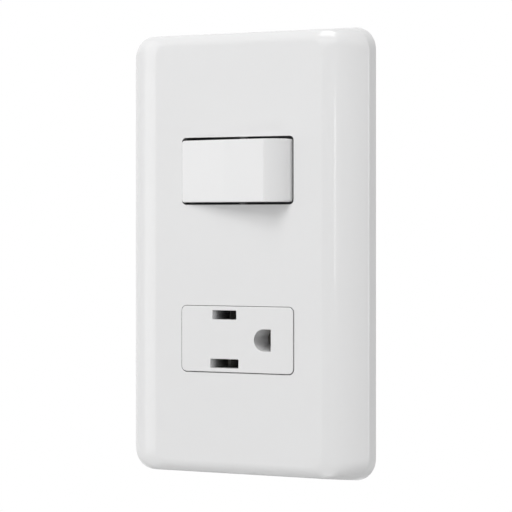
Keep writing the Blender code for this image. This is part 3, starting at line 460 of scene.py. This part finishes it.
def windowRings(window):
    # from the flat front over a small round into the window, and back to the inner face
    edge = cover["windowEdge"]
    rings = []
    for step in range(6):
        angle = math.pi / 2 * step / 5
        grow = edge * (1 - math.sin(angle))
        rings.append(atDepth(roundedOutline(window["halfWidth"] + grow, window["halfHeight"] + grow,
                                            window["corner"] + grow, 8, (0, window["z"])),
                             edge * (1 - math.cos(angle))))
    rings.append(atDepth(roundedOutline(window["halfWidth"] + cover["windowDraft"],
                                        window["halfHeight"], window["corner"], 8,
                                        (0, window["z"])), cover["wall"]))
    return rings


def makeCover():
    bm = bmesh.new()
    steps = cover["cornerSteps"]
    edge = cover["rimEdge"]
    limit = 1 - cover["rimBlend"] * edge / cover["rise"]
    outside = domeRings(0, 0, cover["rise"], 8, cover["slopeRings"], limit)
    sideLeft = slopeInset(limit, cover["rise"])
    depthLeft = limit * cover["rise"]
    for step in range(1, 6):
        part = step / 5
        keep = (1 - part) ** 2
        depth = (keep * depthLeft + 2 * part * (1 - part) * cover["rise"]
                 + part * part * (cover["rise"] + edge))
        outside.append(plateRing(keep * sideLeft, endInset(0, depth), 0, depth, steps))
    back = cover["backEdge"]
    for step in range(5):
        angle = math.pi / 2 * step / 4
        depth = cover["depth"] - back * (1 - math.sin(angle))
        outside.append(plateRing(0, endInset(0, depth), back * (1 - math.cos(angle)), depth, steps))
    inside = domeRings(cover["wall"], cover["wall"], cover["cavityRise"], 3, 6)
    rimInside = plateRing(0, 0, cover["wall"], cover["depth"], steps)
    rows = ringsThrough(bm, outside + [rimInside] + list(reversed(inside)))
    frontLoops, backLoops = [rows[0]], [rows[-1]]
    for opening in (cover["switchWindow"], cover["socketWindow"]):
        window = ringsThrough(bm, windowRings(opening))
        frontLoops.append(window[0])
        backLoops.append(window[-1])
    fillBetween(bm, *frontLoops)
    fillBetween(bm, *backLoops)
    inner, outer = cover["ribX"]
    root, tip = cover["wall"] - cover["ribLap"], cover["ribDepth"]
    for side in (-1, 1):
        chamferedBox(bm, sorted((side * inner, side * outer)), (root, tip),
                     (-cover["ribTop"], cover["ribTop"]))
    half, lower = cover["crossRibHalf"], cover["crossRibLower"]
    for z in cover["crossRibs"]:
        chamferedBox(bm, (-inner, inner), (root, tip - lower), (z - half, z + half))
    addHooks(bm)
    return addPiece("coverPlate", bm, "wall_unit", finishes["white_plastic"],
                    ["cover_plate"])


def addHooks(bm):
    inner = cover["hookX"] - cover["hookThickness"] / 2
    outer = cover["hookX"] + cover["hookThickness"] / 2
    root, tip = cover["hookSpan"]
    noseRoot, noseTip = cover["noseSpan"]
    nose = inner - cover["noseReach"]
    profile = [(inner, root), (outer, root), (outer, tip), (inner, tip), (nose, noseTip),
               (nose, noseRoot), (inner, noseRoot)]
    half = cover["hookWidth"] / 2
    for side in (-1, 1):
        for z in (-cover["hookZ"], cover["hookZ"]):
            points = [(side * x, y) for x, y in profile]
            closedShell(bm, [atHeight(points, z - half), atHeight(points, z + half)])


makeCover()


rocker = {
    "halfLength": 16.79, "leftEnd": 16.8, "halfHeight": 8.125, "z": 21.495,
    "leftRise": 0.4, "crease": (-1.95, 3.2), "ridge": (10.95, 5.0), "rightRise": 1.75,
    "fallStart": 22.0, "endRound": 1.3, "skirtLeft": 3.8, "skirtRight": 1.5,
    "creaseBlend": 0.35, "creaseSink": 0.004, "ridgeBlend": 0.12,
    "lipRun": 0.3, "lipRise": 0.075, "lipStart": 0.1, "lipAngles": (0, 30, 60),
    "edge": 0.2, "corner": 0.8, "cornerReach": 2, "wall": 1.5, "tilt": -4.0,
    "distances": (0, 0.02, 0.06, 0.12, 0.2, 0.35, 0.55, 0.8),
    "hollowRidge": 0.5, "hollowFall": (0.75, 0.2),
    "hinge": 3.4, "ear": 2.4, "earInset": 0.3, "pin": 1.1, "pinLength": 1.2, "pinEdge": 0.25,
    "stemZ": 21.6, "stem": 5.6, "stemCorner": 0.4, "stemStart": -1.5, "stemEnd": 13.9,
    "bore": 1.65, "boreStart": 1.0,
    "webHalf": 0.6, "webStart": -1.6, "webEnd": 1.2, "webEdge": 0.1, "webLap": 0.3,
}


def rockerProfile():
    # seen from above, from the back of the left skirt over the front to the right skirt
    left, right = -rocker["leftEnd"], rocker["halfLength"]
    creaseX, creaseRise = rocker["crease"]
    ridge = (rocker["ridge"][0], -rocker["ridge"][1])
    shoulder = (right - rocker["endRound"], -rocker["rightRise"])
    start = math.radians(rocker["fallStart"])
    fall = arcPoints(ridge, shoulder, start, 14)
    leaving = 2 * math.atan2(shoulder[1] - ridge[1], shoulder[0] - ridge[0]) - start
    drop = rocker["endRound"] * math.tan((leaving + math.pi / 2) / 2)
    nose = arcPoints(shoulder, (right, shoulder[1] + drop), leaving, 8)
    run, rise = rocker["lipRun"], rocker["lipStart"]
    lipEnd = (left + run, -rocker["leftRise"] - rocker["lipRise"])
    lip = [(left + run * (1 - math.cos(a)), -rise + (lipEnd[1] + rise) * math.sin(a))
           for a in map(math.radians, rocker["lipAngles"])]
    slopeIn = (creaseRise + lipEnd[1]) / (creaseX - lipEnd[0])
    slopeOut = (rocker["ridge"][1] - creaseRise) / (ridge[0] - creaseX)
    blend, nearby = rocker["creaseBlend"], rocker["ridgeBlend"]
    before = (creaseX - blend, -creaseRise + slopeIn * blend)
    after = (creaseX + blend, -creaseRise - slopeOut * blend)
    nearRidge = (ridge[0] - nearby, ridge[1] + nearby * slopeOut)
    return [(left, rocker["skirtLeft"]), *lip, lipEnd, before,
            (creaseX, -creaseRise + rocker["creaseSink"]), after, nearRidge, ridge, *fall, *nose,
            (right, rocker["skirtRight"])]


def backLine(x):
    part = (x + rocker["halfLength"]) / (2 * rocker["halfLength"])
    return rocker["skirtLeft"] + part * (rocker["skirtRight"] - rocker["skirtLeft"])


def rockerRing(profile, distance, z):
    # the profile drawn in near an end: its front edge is rounded and so are the upright corners
    edge, corner = rocker["edge"], rocker["corner"]
    drawIn = edge - math.sqrt(edge ** 2 - (edge - distance) ** 2) if distance < edge else 0
    squeeze = corner - math.sqrt(corner ** 2 - (corner - distance) ** 2) if distance < corner else 0
    points = []
    for index, (x, y) in enumerate(profile):
        if 0 < index < len(profile) - 1:
            before, after = profile[index - 1], profile[index + 1]
            along = Vector((after[0] - before[0], after[1] - before[1])).normalized()
            x, y = x - along.y * drawIn, y + along.x * drawIn
        fromEnd = rocker["halfLength"] - abs(x)
        if fromEnd < rocker["cornerReach"]:
            x -= math.copysign(squeeze * (1 - fromEnd / rocker["cornerReach"]), x)
        if index in (0, len(profile) - 1):
            x -= math.copysign(drawIn, x)
            y = backLine(x)
        points.append((x, y, z))
    return points


def makeRocker():
    bm = bmesh.new()
    profile = rockerProfile()
    low = rocker["z"] - rocker["halfHeight"]
    high = rocker["z"] + rocker["halfHeight"]
    distances = rocker["distances"]
    rings = [rockerRing(profile, distance, low + distance) for distance in distances]
    rings += [rockerRing(profile, distance, high - distance) for distance in reversed(distances)]
    rows = [ring(bm, points) for points in rings]
    for row, following in zip(rows, rows[1:]):
        for index in range(len(row) - 1):
            bm.faces.new((row[index], row[index + 1], following[index + 1], following[index]))
    bm.faces.new(rows[0])
    bm.faces.new(rows[-1])
    wall = rocker["wall"]
    left, right = wall - rocker["halfLength"], rocker["halfLength"] - wall
    fallRun, fallDepth = rocker["hollowFall"]
    inner = [(left, backLine(left)), (left, wall - rocker["leftRise"]),
             (rocker["crease"][0], wall - rocker["crease"][1]),
             (rocker["ridge"][0] - rocker["hollowRidge"], wall - rocker["ridge"][1]),
             (right - fallRun, fallDepth), (right, backLine(right))]
    hollow = [ring(bm, atHeight(inner, z)) for z in (low + wall, high - wall)]
    for index in range(len(inner) - 1):
        bm.faces.new((hollow[0][index], hollow[0][index + 1],
                      hollow[1][index + 1], hollow[1][index]))
    bm.faces.new(hollow[0])
    bm.faces.new(hollow[1])
    outerLoop = [row[0] for row in rows] + [row[-1] for row in reversed(rows)]
    innerLoop = [hollow[0][0], hollow[1][0], hollow[1][-1], hollow[0][-1]]
    fillBetween(bm, outerLoop, innerLoop)
    addRockerStem(bm, low, high)
    return addPiece("rockerPaddle", bm, "rocker", finishes["white_plastic"], ["rocker"],
                    28)


def addRockerStem(bm, low, high):
    hinge, wall = rocker["hinge"], rocker["wall"]
    turn = turnAbout(rocker["tilt"], 0, hinge)
    half = rocker["stem"] / 2
    z = rocker["stemZ"]
    square = roundedOutline(half, half, rocker["stemCorner"], 4, (0, z))
    hole = circleOutline((0, z), rocker["bore"], 20)
    boreTop = hinge + rocker["boreStart"]
    outer = [atDepth(square, rocker["stemStart"]), atDepth(square, rocker["stemEnd"])]
    inner = [atDepth(hole, boreTop), atDepth(hole, rocker["stemEnd"])]
    outerRows = ringsThrough(bm, [[turn @ Vector(p) for p in row] for row in outer])
    innerRows = ringsThrough(bm, [[turn @ Vector(p) for p in row] for row in inner])
    bm.faces.new(outerRows[0])
    bm.faces.new(innerRows[0])
    fillBetween(bm, outerRows[1], innerRows[1])
    ear, inset = circleOutline((0, hinge), rocker["ear"], 32), rocker["earInset"]
    for start, end in ((low + inset, low + wall - inset), (high - wall + inset, high - inset)):
        closedShell(bm, [atHeight(ear, start), atHeight(ear, end)])
    pin, edge = rocker["pin"], rocker["pinEdge"]
    for start, end in ((low + wall / 2, low - rocker["pinLength"]),
                       (high - wall / 2, high + rocker["pinLength"])):
        way = 1 if end > start else -1
        rows = [atHeight(circleOutline((0, hinge), radius, 24), height) for radius, height in (
            (pin, start), (pin, end - way * edge), (pin - edge, end))]
        closedShell(bm, rows)
    lap, webHalf = rocker["webLap"], rocker["webHalf"]
    for span in ((low + wall / 2, z - half + lap), (z + half - lap, high - wall / 2)):
        chamferedBox(bm, (-webHalf, webHalf), (rocker["webStart"], hinge + rocker["webEnd"]), span,
                     rocker["webEdge"], turn)


makeRocker()


socket = {
    "z": -22.4, "faceZ": -22.36, "faceX": 0.06, "halfWidth": 16.96, "halfHeight": 8.6,
    "corner": 1.4, "front": -0.3,
    "edge": 0.18, "wallBack": 3.0, "hollowSide": 1.2, "hollowEnd": 1.0, "hollowCorner": 1.0,
    "tubHalf": (18.8, 10.5), "tubCorner": 1.2, "tubSpan": (2.3, 7.1),
    "flangeHalf": (19.7, 10.8), "flangeCorner": 1.5, "flangeBack": 8.5,
    "slotX": -3.72, "slotRise": 6.35, "slotHeight": 2.4, "slotLengths": (7.27, 8.6),
    "slotCorner": 0.12, "slotPaintHalf": 1.3, "slotPaintBeyond": 0.1,
    "groundX": 8.14, "groundRadius": 2.85, "groundFlat": 2.2, "tubeWall": 1.1, "tubeBack": 7.0,
    "holeEdge": 0.10, "shaftWall": 0.7, "shaftBack": 8.3,
}


def groundOutline(grow):
    radius = socket["groundRadius"] + grow
    flat = socket["groundX"] + socket["groundFlat"] + grow
    points = [(flat, socket["z"] - radius), (flat, socket["z"] + radius)]
    for step in range(33):
        angle = math.pi / 2 + math.pi * step / 32
        points.append((socket["groundX"] + radius * math.cos(angle),
                       socket["z"] + radius * math.sin(angle)))
    return points


def holeRings(outlineAt, back):
    edge = socket["holeEdge"]
    rings = []
    for step in range(4):
        angle = math.pi / 2 * step / 3
        rings.append(atDepth(outlineAt(edge * (1 - math.sin(angle))),
                             socket["front"] + edge * (1 - math.cos(angle))))
    rings.append(atDepth(outlineAt(0), back))
    return rings


def makeSocketFace():
    bm = bmesh.new()
    z = socket["z"]

    def outline(halfWidth, halfHeight, corner, middle=(0, z)):
        return roundedOutline(halfWidth, halfHeight, corner, 8, middle)

    edge = socket["edge"]
    face = (socket["faceX"], socket["faceZ"])
    rings = []
    for step in range(7):
        angle = math.pi / 2 * step / 6
        inset = edge * (1 - math.sin(angle))
        rings.append(atDepth(outline(socket["halfWidth"] - inset, socket["halfHeight"] - inset,
                                     socket["corner"] - inset, face),
                             socket["front"] + edge * (1 - math.cos(angle))))
    tubFront, tubBack = socket["tubSpan"]
    rings.append(atDepth(outline(socket["halfWidth"], socket["halfHeight"], socket["corner"], face),
                         tubFront))
    tub = outline(*socket["tubHalf"], socket["tubCorner"])
    flange = outline(*socket["flangeHalf"], socket["flangeCorner"])
    rings += [atDepth(tub, tubFront), atDepth(tub, tubBack), atDepth(flange, tubBack),
              atDepth(flange, socket["flangeBack"])]
    inner = outline(socket["halfWidth"] - socket["hollowSide"],
                    socket["halfHeight"] - socket["hollowEnd"], socket["hollowCorner"])
    rings += [atDepth(inner, socket["flangeBack"]), atDepth(inner, socket["wallBack"])]
    rows = ringsThrough(bm, rings)
    frontLoops, backLoops = [rows[0]], [rows[-1]]
    for side, length in zip((1, -1), socket["slotLengths"]):
        middle = (socket["slotX"], z + side * socket["slotRise"])

        def slotOutline(grow):
            return roundedOutline(length / 2 + grow, socket["slotHeight"] / 2 + grow,
                                  socket["slotCorner"] + grow, 3, middle)

        slot = ringsThrough(bm, holeRings(slotOutline, socket["wallBack"]))
        frontLoops.append(slot[0])
        backLoops.append(slot[-1])
        wall, start, end = socket["shaftWall"], socket["wallBack"], socket["shaftBack"]
        shaft = ringsThrough(bm, [atDepth(slotOutline(grow), depth) for grow, depth in
                                  ((0, start), (0, end), (wall, end), (wall, start))])
        bridge(bm, shaft[-1], shaft[0])
    hole = ringsThrough(bm, holeRings(groundOutline, socket["tubeBack"]))
    tube = ringsThrough(bm, [atDepth(groundOutline(socket["tubeWall"]), depth)
                             for depth in (socket["wallBack"], socket["tubeBack"])])
    bridge(bm, hole[-1], tube[-1])
    frontLoops.append(hole[0])
    backLoops.append(tube[0])
    fillBetween(bm, *frontLoops)
    fillBetween(bm, *backLoops)
    piece = addPiece("socketFace", bm, "wall_unit", finishes["white_plastic"], ["socket_face"])
    # the faces of the slot walls and shafts get the painted light and shade
    piece.data.materials.append(slotWallPaintedLightAndShade)
    beyond = socket["slotPaintBeyond"]
    slotPaintReach = max(socket["slotLengths"]) / 2 + beyond
    slotPaintStart, slotPaintEnd = socket["front"] + socket["holeEdge"], socket["shaftBack"] - beyond
    for face in piece.data.polygons:
        x, y, height = face.center * toMillimetres
        fromMiddle = abs(abs(height - z) - socket["slotRise"])
        besideSlot = fromMiddle < socket["slotPaintHalf"] and abs(x - socket["slotX"]) < slotPaintReach
        if besideSlot and slotPaintStart < y < slotPaintEnd:
            face.material_index = 1
    return piece


makeSocketFace()


screwForm = {
    "radius": 1.75, "core": 1.40, "pitch": 0.85, "steepness": 1.25, "rowsPerTurn": 6, "around": 20,
    "plain": 0.25, "point": 0.8, "pointWidth": 0.6,
    "headHeight": 1.9, "topFlat": 0.56, "roundDepth": 0.62, "seatEdge": 0.1,
    "armLength": 0.5, "armWidth": 0.14, "taper": 0.72, "recess": 0.6,
    "screws": {
        "frameScrewUpper": ("frame_screw_upper", 0.0, 50.1, 6.7, 12.0, 2.45),
        "frameScrewLower": ("frame_screw_lower", 0.0, -50.9, 6.7, 12.0, 2.45),
        "boxScrewUpper": ("box_screw_upper", 0.0, 41.35, 8.5, 26.0, 3.2),
        "boxScrewLower": ("box_screw_lower", 0.0, -42.15, 8.5, 26.0, 3.2),
        "commonScrew": ("common_screw", -13.0, 21.6, 23.9, 19.0, 2.45),
        "loadScrew": ("load_screw", 13.0, 21.6, 23.9, 19.0, 2.45),
        "lineScrew": ("line_screw", -13.0, -17.2, 23.9, 19.0, 2.45),
        "neutralScrew": ("neutral_screw", -13.0, -27.6, 23.9, 19.0, 2.45),
        "groundScrew": ("ground_screw", 13.0, -22.4, 23.9, 19.0, 2.45),
    },
}


def crossOutline(x, z, length, width):
    quarter = [(length, -width), (length, width), (width, width)]
    points = []
    for turn in range(4):
        cosine, sine = round(math.cos(math.pi / 2 * turn)), round(math.sin(math.pi / 2 * turn))
        points += [(x + cosine * a - sine * b, z + sine * a + cosine * b) for a, b in quarter]
    return points


def threadRing(x, z, along, length, y):
    # one row of the thread: its crest climbs once round for each pitch
    core, radius = screwForm["core"], screwForm["radius"]
    left = length - along
    limit = radius
    if left < screwForm["point"]:
        start = screwForm["pointWidth"] * radius
        limit = start + (radius - start) * left / screwForm["point"]
    points = []
    for step in range(screwForm["around"]):
        angle = 2 * math.pi * step / screwForm["around"]
        phase = (along / screwForm["pitch"] - step / screwForm["around"]) % 1
        crest = min(1, screwForm["steepness"] * abs(2 * phase - 1))
        reach = radius if along < screwForm["plain"] else core + (radius - core) * crest
        reach = min(reach, limit)
        points.append((x + reach * math.cos(angle), y, z + reach * math.sin(angle)))
    return points


def makeScrew(name, node, x, z, seat, tip, headRadius):
    bm = bmesh.new()
    headWay = 1 if tip < seat else -1
    height = screwForm["headHeight"]
    crown = seat + headWay * height
    flat = screwForm["topFlat"] * headRadius
    head = []
    for step in range(8):
        angle = math.pi / 2 * step / 7
        head.append((flat + (headRadius - flat) * math.sin(angle),
                     screwForm["roundDepth"] * height * (1 - math.cos(angle))))
    edge = screwForm["seatEdge"]
    head += [(headRadius, height - edge), (headRadius - edge, height)]
    rings = [atDepth(circleOutline((x, z), radius, screwForm["around"]), crown - headWay * down)
             for radius, down in head]
    length = abs(tip - seat)
    count = round(length / screwForm["pitch"] * screwForm["rowsPerTurn"])
    for row in range(count + 1):
        along = length * row / count
        rings.append(threadRing(x, z, along, length, seat - headWay * along))
    rows = ringsThrough(bm, rings)
    bm.faces.new(rows[-1])
    arm, width = screwForm["armLength"] * headRadius, screwForm["armWidth"] * headRadius
    taper = screwForm["taper"]
    mouth = crossOutline(x, z, arm, width)
    floor = crossOutline(x, z, arm * taper, width * taper)
    recess = ringsThrough(bm, [atDepth(mouth, crown),
                               atDepth(floor, crown - headWay * screwForm["recess"] * height)])
    bm.faces.new(recess[-1])
    fillBetween(bm, rows[0], recess[0])
    addPiece(name, bm, "wall_unit", finishes["zinc_steel"], [node], 40)


for screwName, screwValues in screwForm["screws"].items():
    makeScrew(screwName, *screwValues)


softParts = {
    "sharpAngle": 35, "segments": 2, "mergeWithin": 0.001, "flatWithin": 0.5,
    "edges": {
        "plateFrame": ("plate_frame", "wall_unit", 0.25, 1.5),
        "mountingStrap": ("mounting_strap", "wall_unit", 0.18, 0),
        "switchCollar": ("switch_collar", "wall_unit", 0.25, 1.5),
        "commonTerminal": ("common_terminal", "wall_unit", 0.12, 0),
        "loadTerminal": ("load_terminal", "wall_unit", 0.12, 0),
        "fixedContact": ("fixed_contact", "wall_unit", 0.08, 0),
        "commonClamp": ("common_clamp", "wall_unit", 0.15, 0),
        "loadClamp": ("load_clamp", "wall_unit", 0.15, 0),
        "lineContact": ("line_contact", "wall_unit", 0.12, 0),
        "neutralContact": ("neutral_contact", "wall_unit", 0.12, 0),
        "groundContact": ("ground_contact", "wall_unit", 0.12, 0),
        "lineClamp": ("line_clamp", "wall_unit", 0.15, 0),
        "neutralClamp": ("neutral_clamp", "wall_unit", 0.15, 0),
        "groundClamp": ("ground_clamp", "wall_unit", 0.15, 0),
        "plungerPin": ("plunger", "plunger", 0.15, 0),
        "contactArm": ("contact_arm", "contact_arm", 0.12, 0),
        "movingContact": ("moving_contact", "contact_arm", 0.08, 0),
    },
}


def solidOf(node):
    # the solid in millimetres
    bm = bmesh.new()
    bm.from_mesh(nodes[node].data)
    bm.transform(Matrix.Scale(toMillimetres, 4))
    bmesh.ops.remove_doubles(bm, verts=bm.verts, dist=softParts["mergeWithin"])
    return bm


def joinedFlats(node):
    # the solid with the triangles of each flat joined up
    bm = solidOf(node)
    bmesh.ops.dissolve_limit(bm, angle_limit=math.radians(softParts["flatWithin"]),
                             verts=bm.verts, edges=bm.edges)
    return bm


def softenPart(name, node, body, radius, shortest):
    bm = joinedFlats(node)
    limit = math.radians(softParts["sharpAngle"])
    sharp = [edge for edge in bm.edges if edge.is_manifold and edge.is_convex
             and edge.calc_face_angle() > limit and edge.calc_length() > shortest]
    bmesh.ops.bevel(bm, geom=sharp, offset=radius, segments=softParts["segments"], profile=0.5,
                    affect="EDGES", clamp_overlap=True)
    slot = slotOf[node]
    return addPiece(name, bm, body, finishes[slot], [node], 40)


for partName, partValues in softParts["edges"].items():
    softenPart(partName, *partValues)


def makeSpring():
    # sits in the rocker's stem and shortens as the plunger is pushed in
    bm = solidOf("plunger_spring")
    piece = addPiece("plungerSpring", bm, "rocker", finishes["spring_steel"], ["plunger_spring"],
                     75)
    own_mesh(piece)


makeSpring()


housings = {
    "halfWidth": 17.0, "halfHeight": 10.2, "corner": 1.2, "back": 30.8,
    "backRound": 0.45, "seamAt": 14.2, "seamWidth": 0.35, "seamDepth": 0.2, "seamSlant": 0.6,
    "pocketHalf": (2.8, 4.2), "pocketCorner": 0.05, "mouth": 0.28, "mouthLap": 0.1,
    "panelHalf": (8.0, 7.2), "panelCorner": 1.0, "panelDepth": 0.35, "panelDraft": 0.15,
    "ribCount": 7, "ribPitch": 4.0, "ribHalf": 0.55, "ribRound": 0.9,
    "ribFrom": 17.0, "ribTo": 27.6, "ribDepth": 0.3,
    "markRadius": 1.1, "markDepth": 0.12,
    "parts": {
        "switchHousing": ("switch_housing", 21.6, [(-13, 21.6), (13, 21.6)],
                          [(-13, 28.7), (13, 28.7), (-13, 14.5), (13, 14.5)]),
        "socketHousing": ("socket_housing", -22.4, [(-13, -17.2), (-13, -27.6), (13, -22.4)],
                          [(13, -15.3), (13, -29.5)]),
    },
}


def loopCutter(bm, z, profile):
    rows = ringsThrough(bm, [
        atDepth(roundedOutline(housings["halfWidth"] + out, housings["halfHeight"] + out,
                               housings["corner"] + out, 3, (0, z)), depth)
        for out, depth in profile])
    bridge(bm, rows[-1], rows[0])


def housingCutter(z, pockets, marks):
    # everything the mould leaves out: round back edge, seam, mouths, panel, ribs and pin marks
    bm = bmesh.new()
    back, beyond = housings["back"], 1.0
    radius = housings["backRound"]
    arc = [(radius * (math.cos(angle) - 1), back - radius * (1 - math.sin(angle)))
           for angle in (math.pi / 2 * step / 6 for step in range(7))]
    loopCutter(bm, z, [(beyond, back - radius), *arc, (-radius, back + beyond),
                       (beyond, back + beyond)])
    start, end = housings["seamAt"], housings["seamAt"] + housings["seamWidth"]
    slant = housings["seamDepth"] * housings["seamSlant"]
    loopCutter(bm, z, [(beyond, start), (0, start), (-housings["seamDepth"], start + slant / 2),
                       (-housings["seamDepth"], end - slant / 2), (0, end), (beyond, end)])
    halfX, halfZ = housings["pocketHalf"]
    mouth, lap = housings["mouth"], housings["mouthLap"]
    for x, pocketZ in pockets:
        closedShell(bm, [atDepth(roundedOutline(halfX + grow, halfZ + grow,
                                                housings["pocketCorner"] + grow, 2,
                                                (x, pocketZ)), back + out)
                         for grow, out in ((0.0, -mouth), (mouth + lap, lap),
                                           (mouth + lap, beyond))])
    halfX, halfZ = housings["panelHalf"]
    draft = housings["panelDraft"]
    closedShell(bm, [atDepth(roundedOutline(halfX + grow, halfZ + grow, housings["panelCorner"], 5,
                                            (0, z)), depth)
                     for grow, depth in ((-draft, back - housings["panelDepth"]), (0, back),
                                         (0, back + beyond))])
    for x, markZ in marks:
        closedShell(bm, [atDepth(circleOutline((x, markZ), housings["markRadius"], 24), depth)
                         for depth in (back - housings["markDepth"], back + beyond)])
    half, first, last = housings["ribHalf"], housings["ribFrom"], housings["ribTo"]
    for index in range(housings["ribCount"]):
        middle = (index - (housings["ribCount"] - 1) / 2) * housings["ribPitch"]
        rib = roundedOutline(half, (last - first) / 2, half * housings["ribRound"], 5,
                             (middle, (last + first) / 2))
        for side in (-1, 1):
            face = z + side * housings["halfHeight"]
            heights = (face - side * housings["ribDepth"], face + side * beyond)
            closedShell(bm, [atHeight(rib, height) for height in heights])
    bmesh.ops.recalc_face_normals(bm, faces=bm.faces)
    return bm


def makeHousing(name, node, z, pockets, marks):
    plain = joinedFlats(node)
    bmesh.ops.recalc_face_normals(plain, faces=plain.faces)
    body = meshObject(name + "Plain", plain)
    cutter = meshObject(name + "Cutter", housingCutter(z, pockets, marks))
    cut = body.modifiers.new("cut", "BOOLEAN")
    cut.operation = "DIFFERENCE"
    cut.solver = "EXACT"
    cut.object = cutter
    bm = bmesh.new()
    bm.from_mesh(body.evaluated_get(bpy.context.evaluated_depsgraph_get()).data)
    for thing in (body, cutter):
        bpy.data.objects.remove(thing, do_unlink=True)
    slot = slotOf[node]
    addPiece(name, bm, "wall_unit", finishes[slot], [node], 35)


for housingName, housingValues in housings["parts"].items():
    makeHousing(housingName, *housingValues)


stage = {
    "floorZ": -0.90, "floorSize": 9.0, "plainRadius": 1.3, "whiteRadius": 2.2,
    "floorColour": (0.80, 0.80, 0.80, 1), "floorRoughness": 0.7,
    "ambient": 0.28,
    "lights": {
        "key": {"at": (-0.07, -1.03, 1.07), "size": (0.80, 0.80), "power": 11.9},
        "above": {"at": (0.0, -0.70, 1.30), "size": (0.60, 0.60), "power": 3.4},
        "left": {"at": (-1.25, -0.62, 0.27), "size": (0.97, 0.97), "power": 2.9},
        "right": {"at": (1.35, 0.30, 0.10), "size": (0.60, 0.60), "power": 5.0},
        "low": {"at": (0.0, -0.80, -0.80), "size": (0.50, 0.50), "power": 1.9},
        "topStrip": {"at": (-0.035, -0.735, 0.262), "size": (0.60, 0.10), "power": 0.34},
        "sideStrip": {"at": (0.245, -0.974, 0.032), "size": (0.045, 0.13), "power": 0.15},
    },
}


def whiteForCamera(tree):
    # 1 for what the camera sees directly, in a reflection or through glass
    path = tree.nodes.new("ShaderNodeLightPath")
    seen = mathNode(tree, "MAXIMUM", path.outputs["Is Camera Ray"], path.outputs["Is Glossy Ray"])
    return mathNode(tree, "MAXIMUM", seen, path.outputs["Is Transmission Ray"])


def makeWorld():
    world = bpy.data.worlds.new("studio")
    bpy.context.scene.world = world
    world.use_nodes = True
    tree = world.node_tree
    tree.nodes.clear()
    ambient = tree.nodes.new("ShaderNodeBackground")
    ambient.inputs["Color"].default_value = (1, 1, 1, 1)
    ambient.inputs["Strength"].default_value = stage["ambient"]
    white = tree.nodes.new("ShaderNodeBackground")
    white.inputs["Color"].default_value = (1, 1, 1, 1)
    white.inputs["Strength"].default_value = 1.0
    choose = tree.nodes.new("ShaderNodeMixShader")
    output = tree.nodes.new("ShaderNodeOutputWorld")
    tree.links.new(whiteForCamera(tree), choose.inputs[0])
    tree.links.new(ambient.outputs[0], choose.inputs[1])
    tree.links.new(white.outputs[0], choose.inputs[2])
    tree.links.new(choose.outputs[0], output.inputs["Surface"])


def makeFloor():
    bm = bmesh.new()
    half = stage["floorSize"] / 2
    corners = [(-half, -half), (half, -half), (half, half), (-half, half)]
    bm.faces.new([bm.verts.new((x, y, stage["floorZ"])) for x, y in corners])
    floor = meshObject("floor", bm)
    material = bpy.data.materials.new("paleFloor")
    material.use_nodes = True
    tree = material.node_tree
    shader = tree.nodes["Principled BSDF"]
    shader.inputs["Base Color"].default_value = stage["floorColour"]
    shader.inputs["Roughness"].default_value = stage["floorRoughness"]
    # far from the object the floor runs out into plain white
    place = tree.nodes.new("ShaderNodeTexCoord")
    distance = tree.nodes.new("ShaderNodeVectorMath")
    distance.operation = "LENGTH"
    tree.links.new(place.outputs["Object"], distance.inputs[0])
    away = tree.nodes.new("ShaderNodeMapRange")
    away.interpolation_type = "SMOOTHSTEP"
    tree.links.new(distance.outputs["Value"], away.inputs["Value"])
    away.inputs["From Min"].default_value = stage["plainRadius"]
    away.inputs["From Max"].default_value = stage["whiteRadius"]
    white = tree.nodes.new("ShaderNodeEmission")
    choose = tree.nodes.new("ShaderNodeMixShader")
    tree.links.new(mathNode(tree, "MULTIPLY", whiteForCamera(tree), away.outputs["Result"]),
                   choose.inputs[0])
    tree.links.new(shader.outputs[0], choose.inputs[1])
    tree.links.new(white.outputs[0], choose.inputs[2])
    tree.links.new(choose.outputs[0], tree.nodes["Material Output"].inputs["Surface"])
    floor.data.materials.append(material)


def makeLights():
    for name, values in stage["lights"].items():
        data = bpy.data.lights.new(name, "AREA")
        data.shape = "RECTANGLE"
        data.size, data.size_y = values["size"]
        data.energy = values["power"]
        light = bpy.data.objects.new(name, data)
        light.location = values["at"]
        light.rotation_euler = (-Vector(values["at"])).to_track_quat("-Z", "Y").to_euler()
        bpy.context.scene.collection.objects.link(light)


view = {
    "at": (0.34405, -0.56300, 0.00703), "azimuth": 31.0,
    "lens": 178.3, "sensor": 36.0, "shiftY": -0.0575, "nearest": 0.01,
}


def makeCamera():
    data = bpy.data.cameras.new("camera")
    data.lens = view["lens"]
    data.sensor_width = view["sensor"]
    data.shift_y = view["shiftY"]
    data.clip_start = view["nearest"]
    camera = bpy.data.objects.new("camera", data)
    camera.location = view["at"]
    camera.rotation_euler = (math.pi / 2, 0, math.radians(view["azimuth"]))
    bpy.context.scene.collection.objects.link(camera)
    bpy.context.scene.camera = camera


makeWorld()
makeFloor()
makeLights()
makeCamera()
bpy.context.scene.view_settings.view_transform = "Standard"
print("stage, lights and camera set")
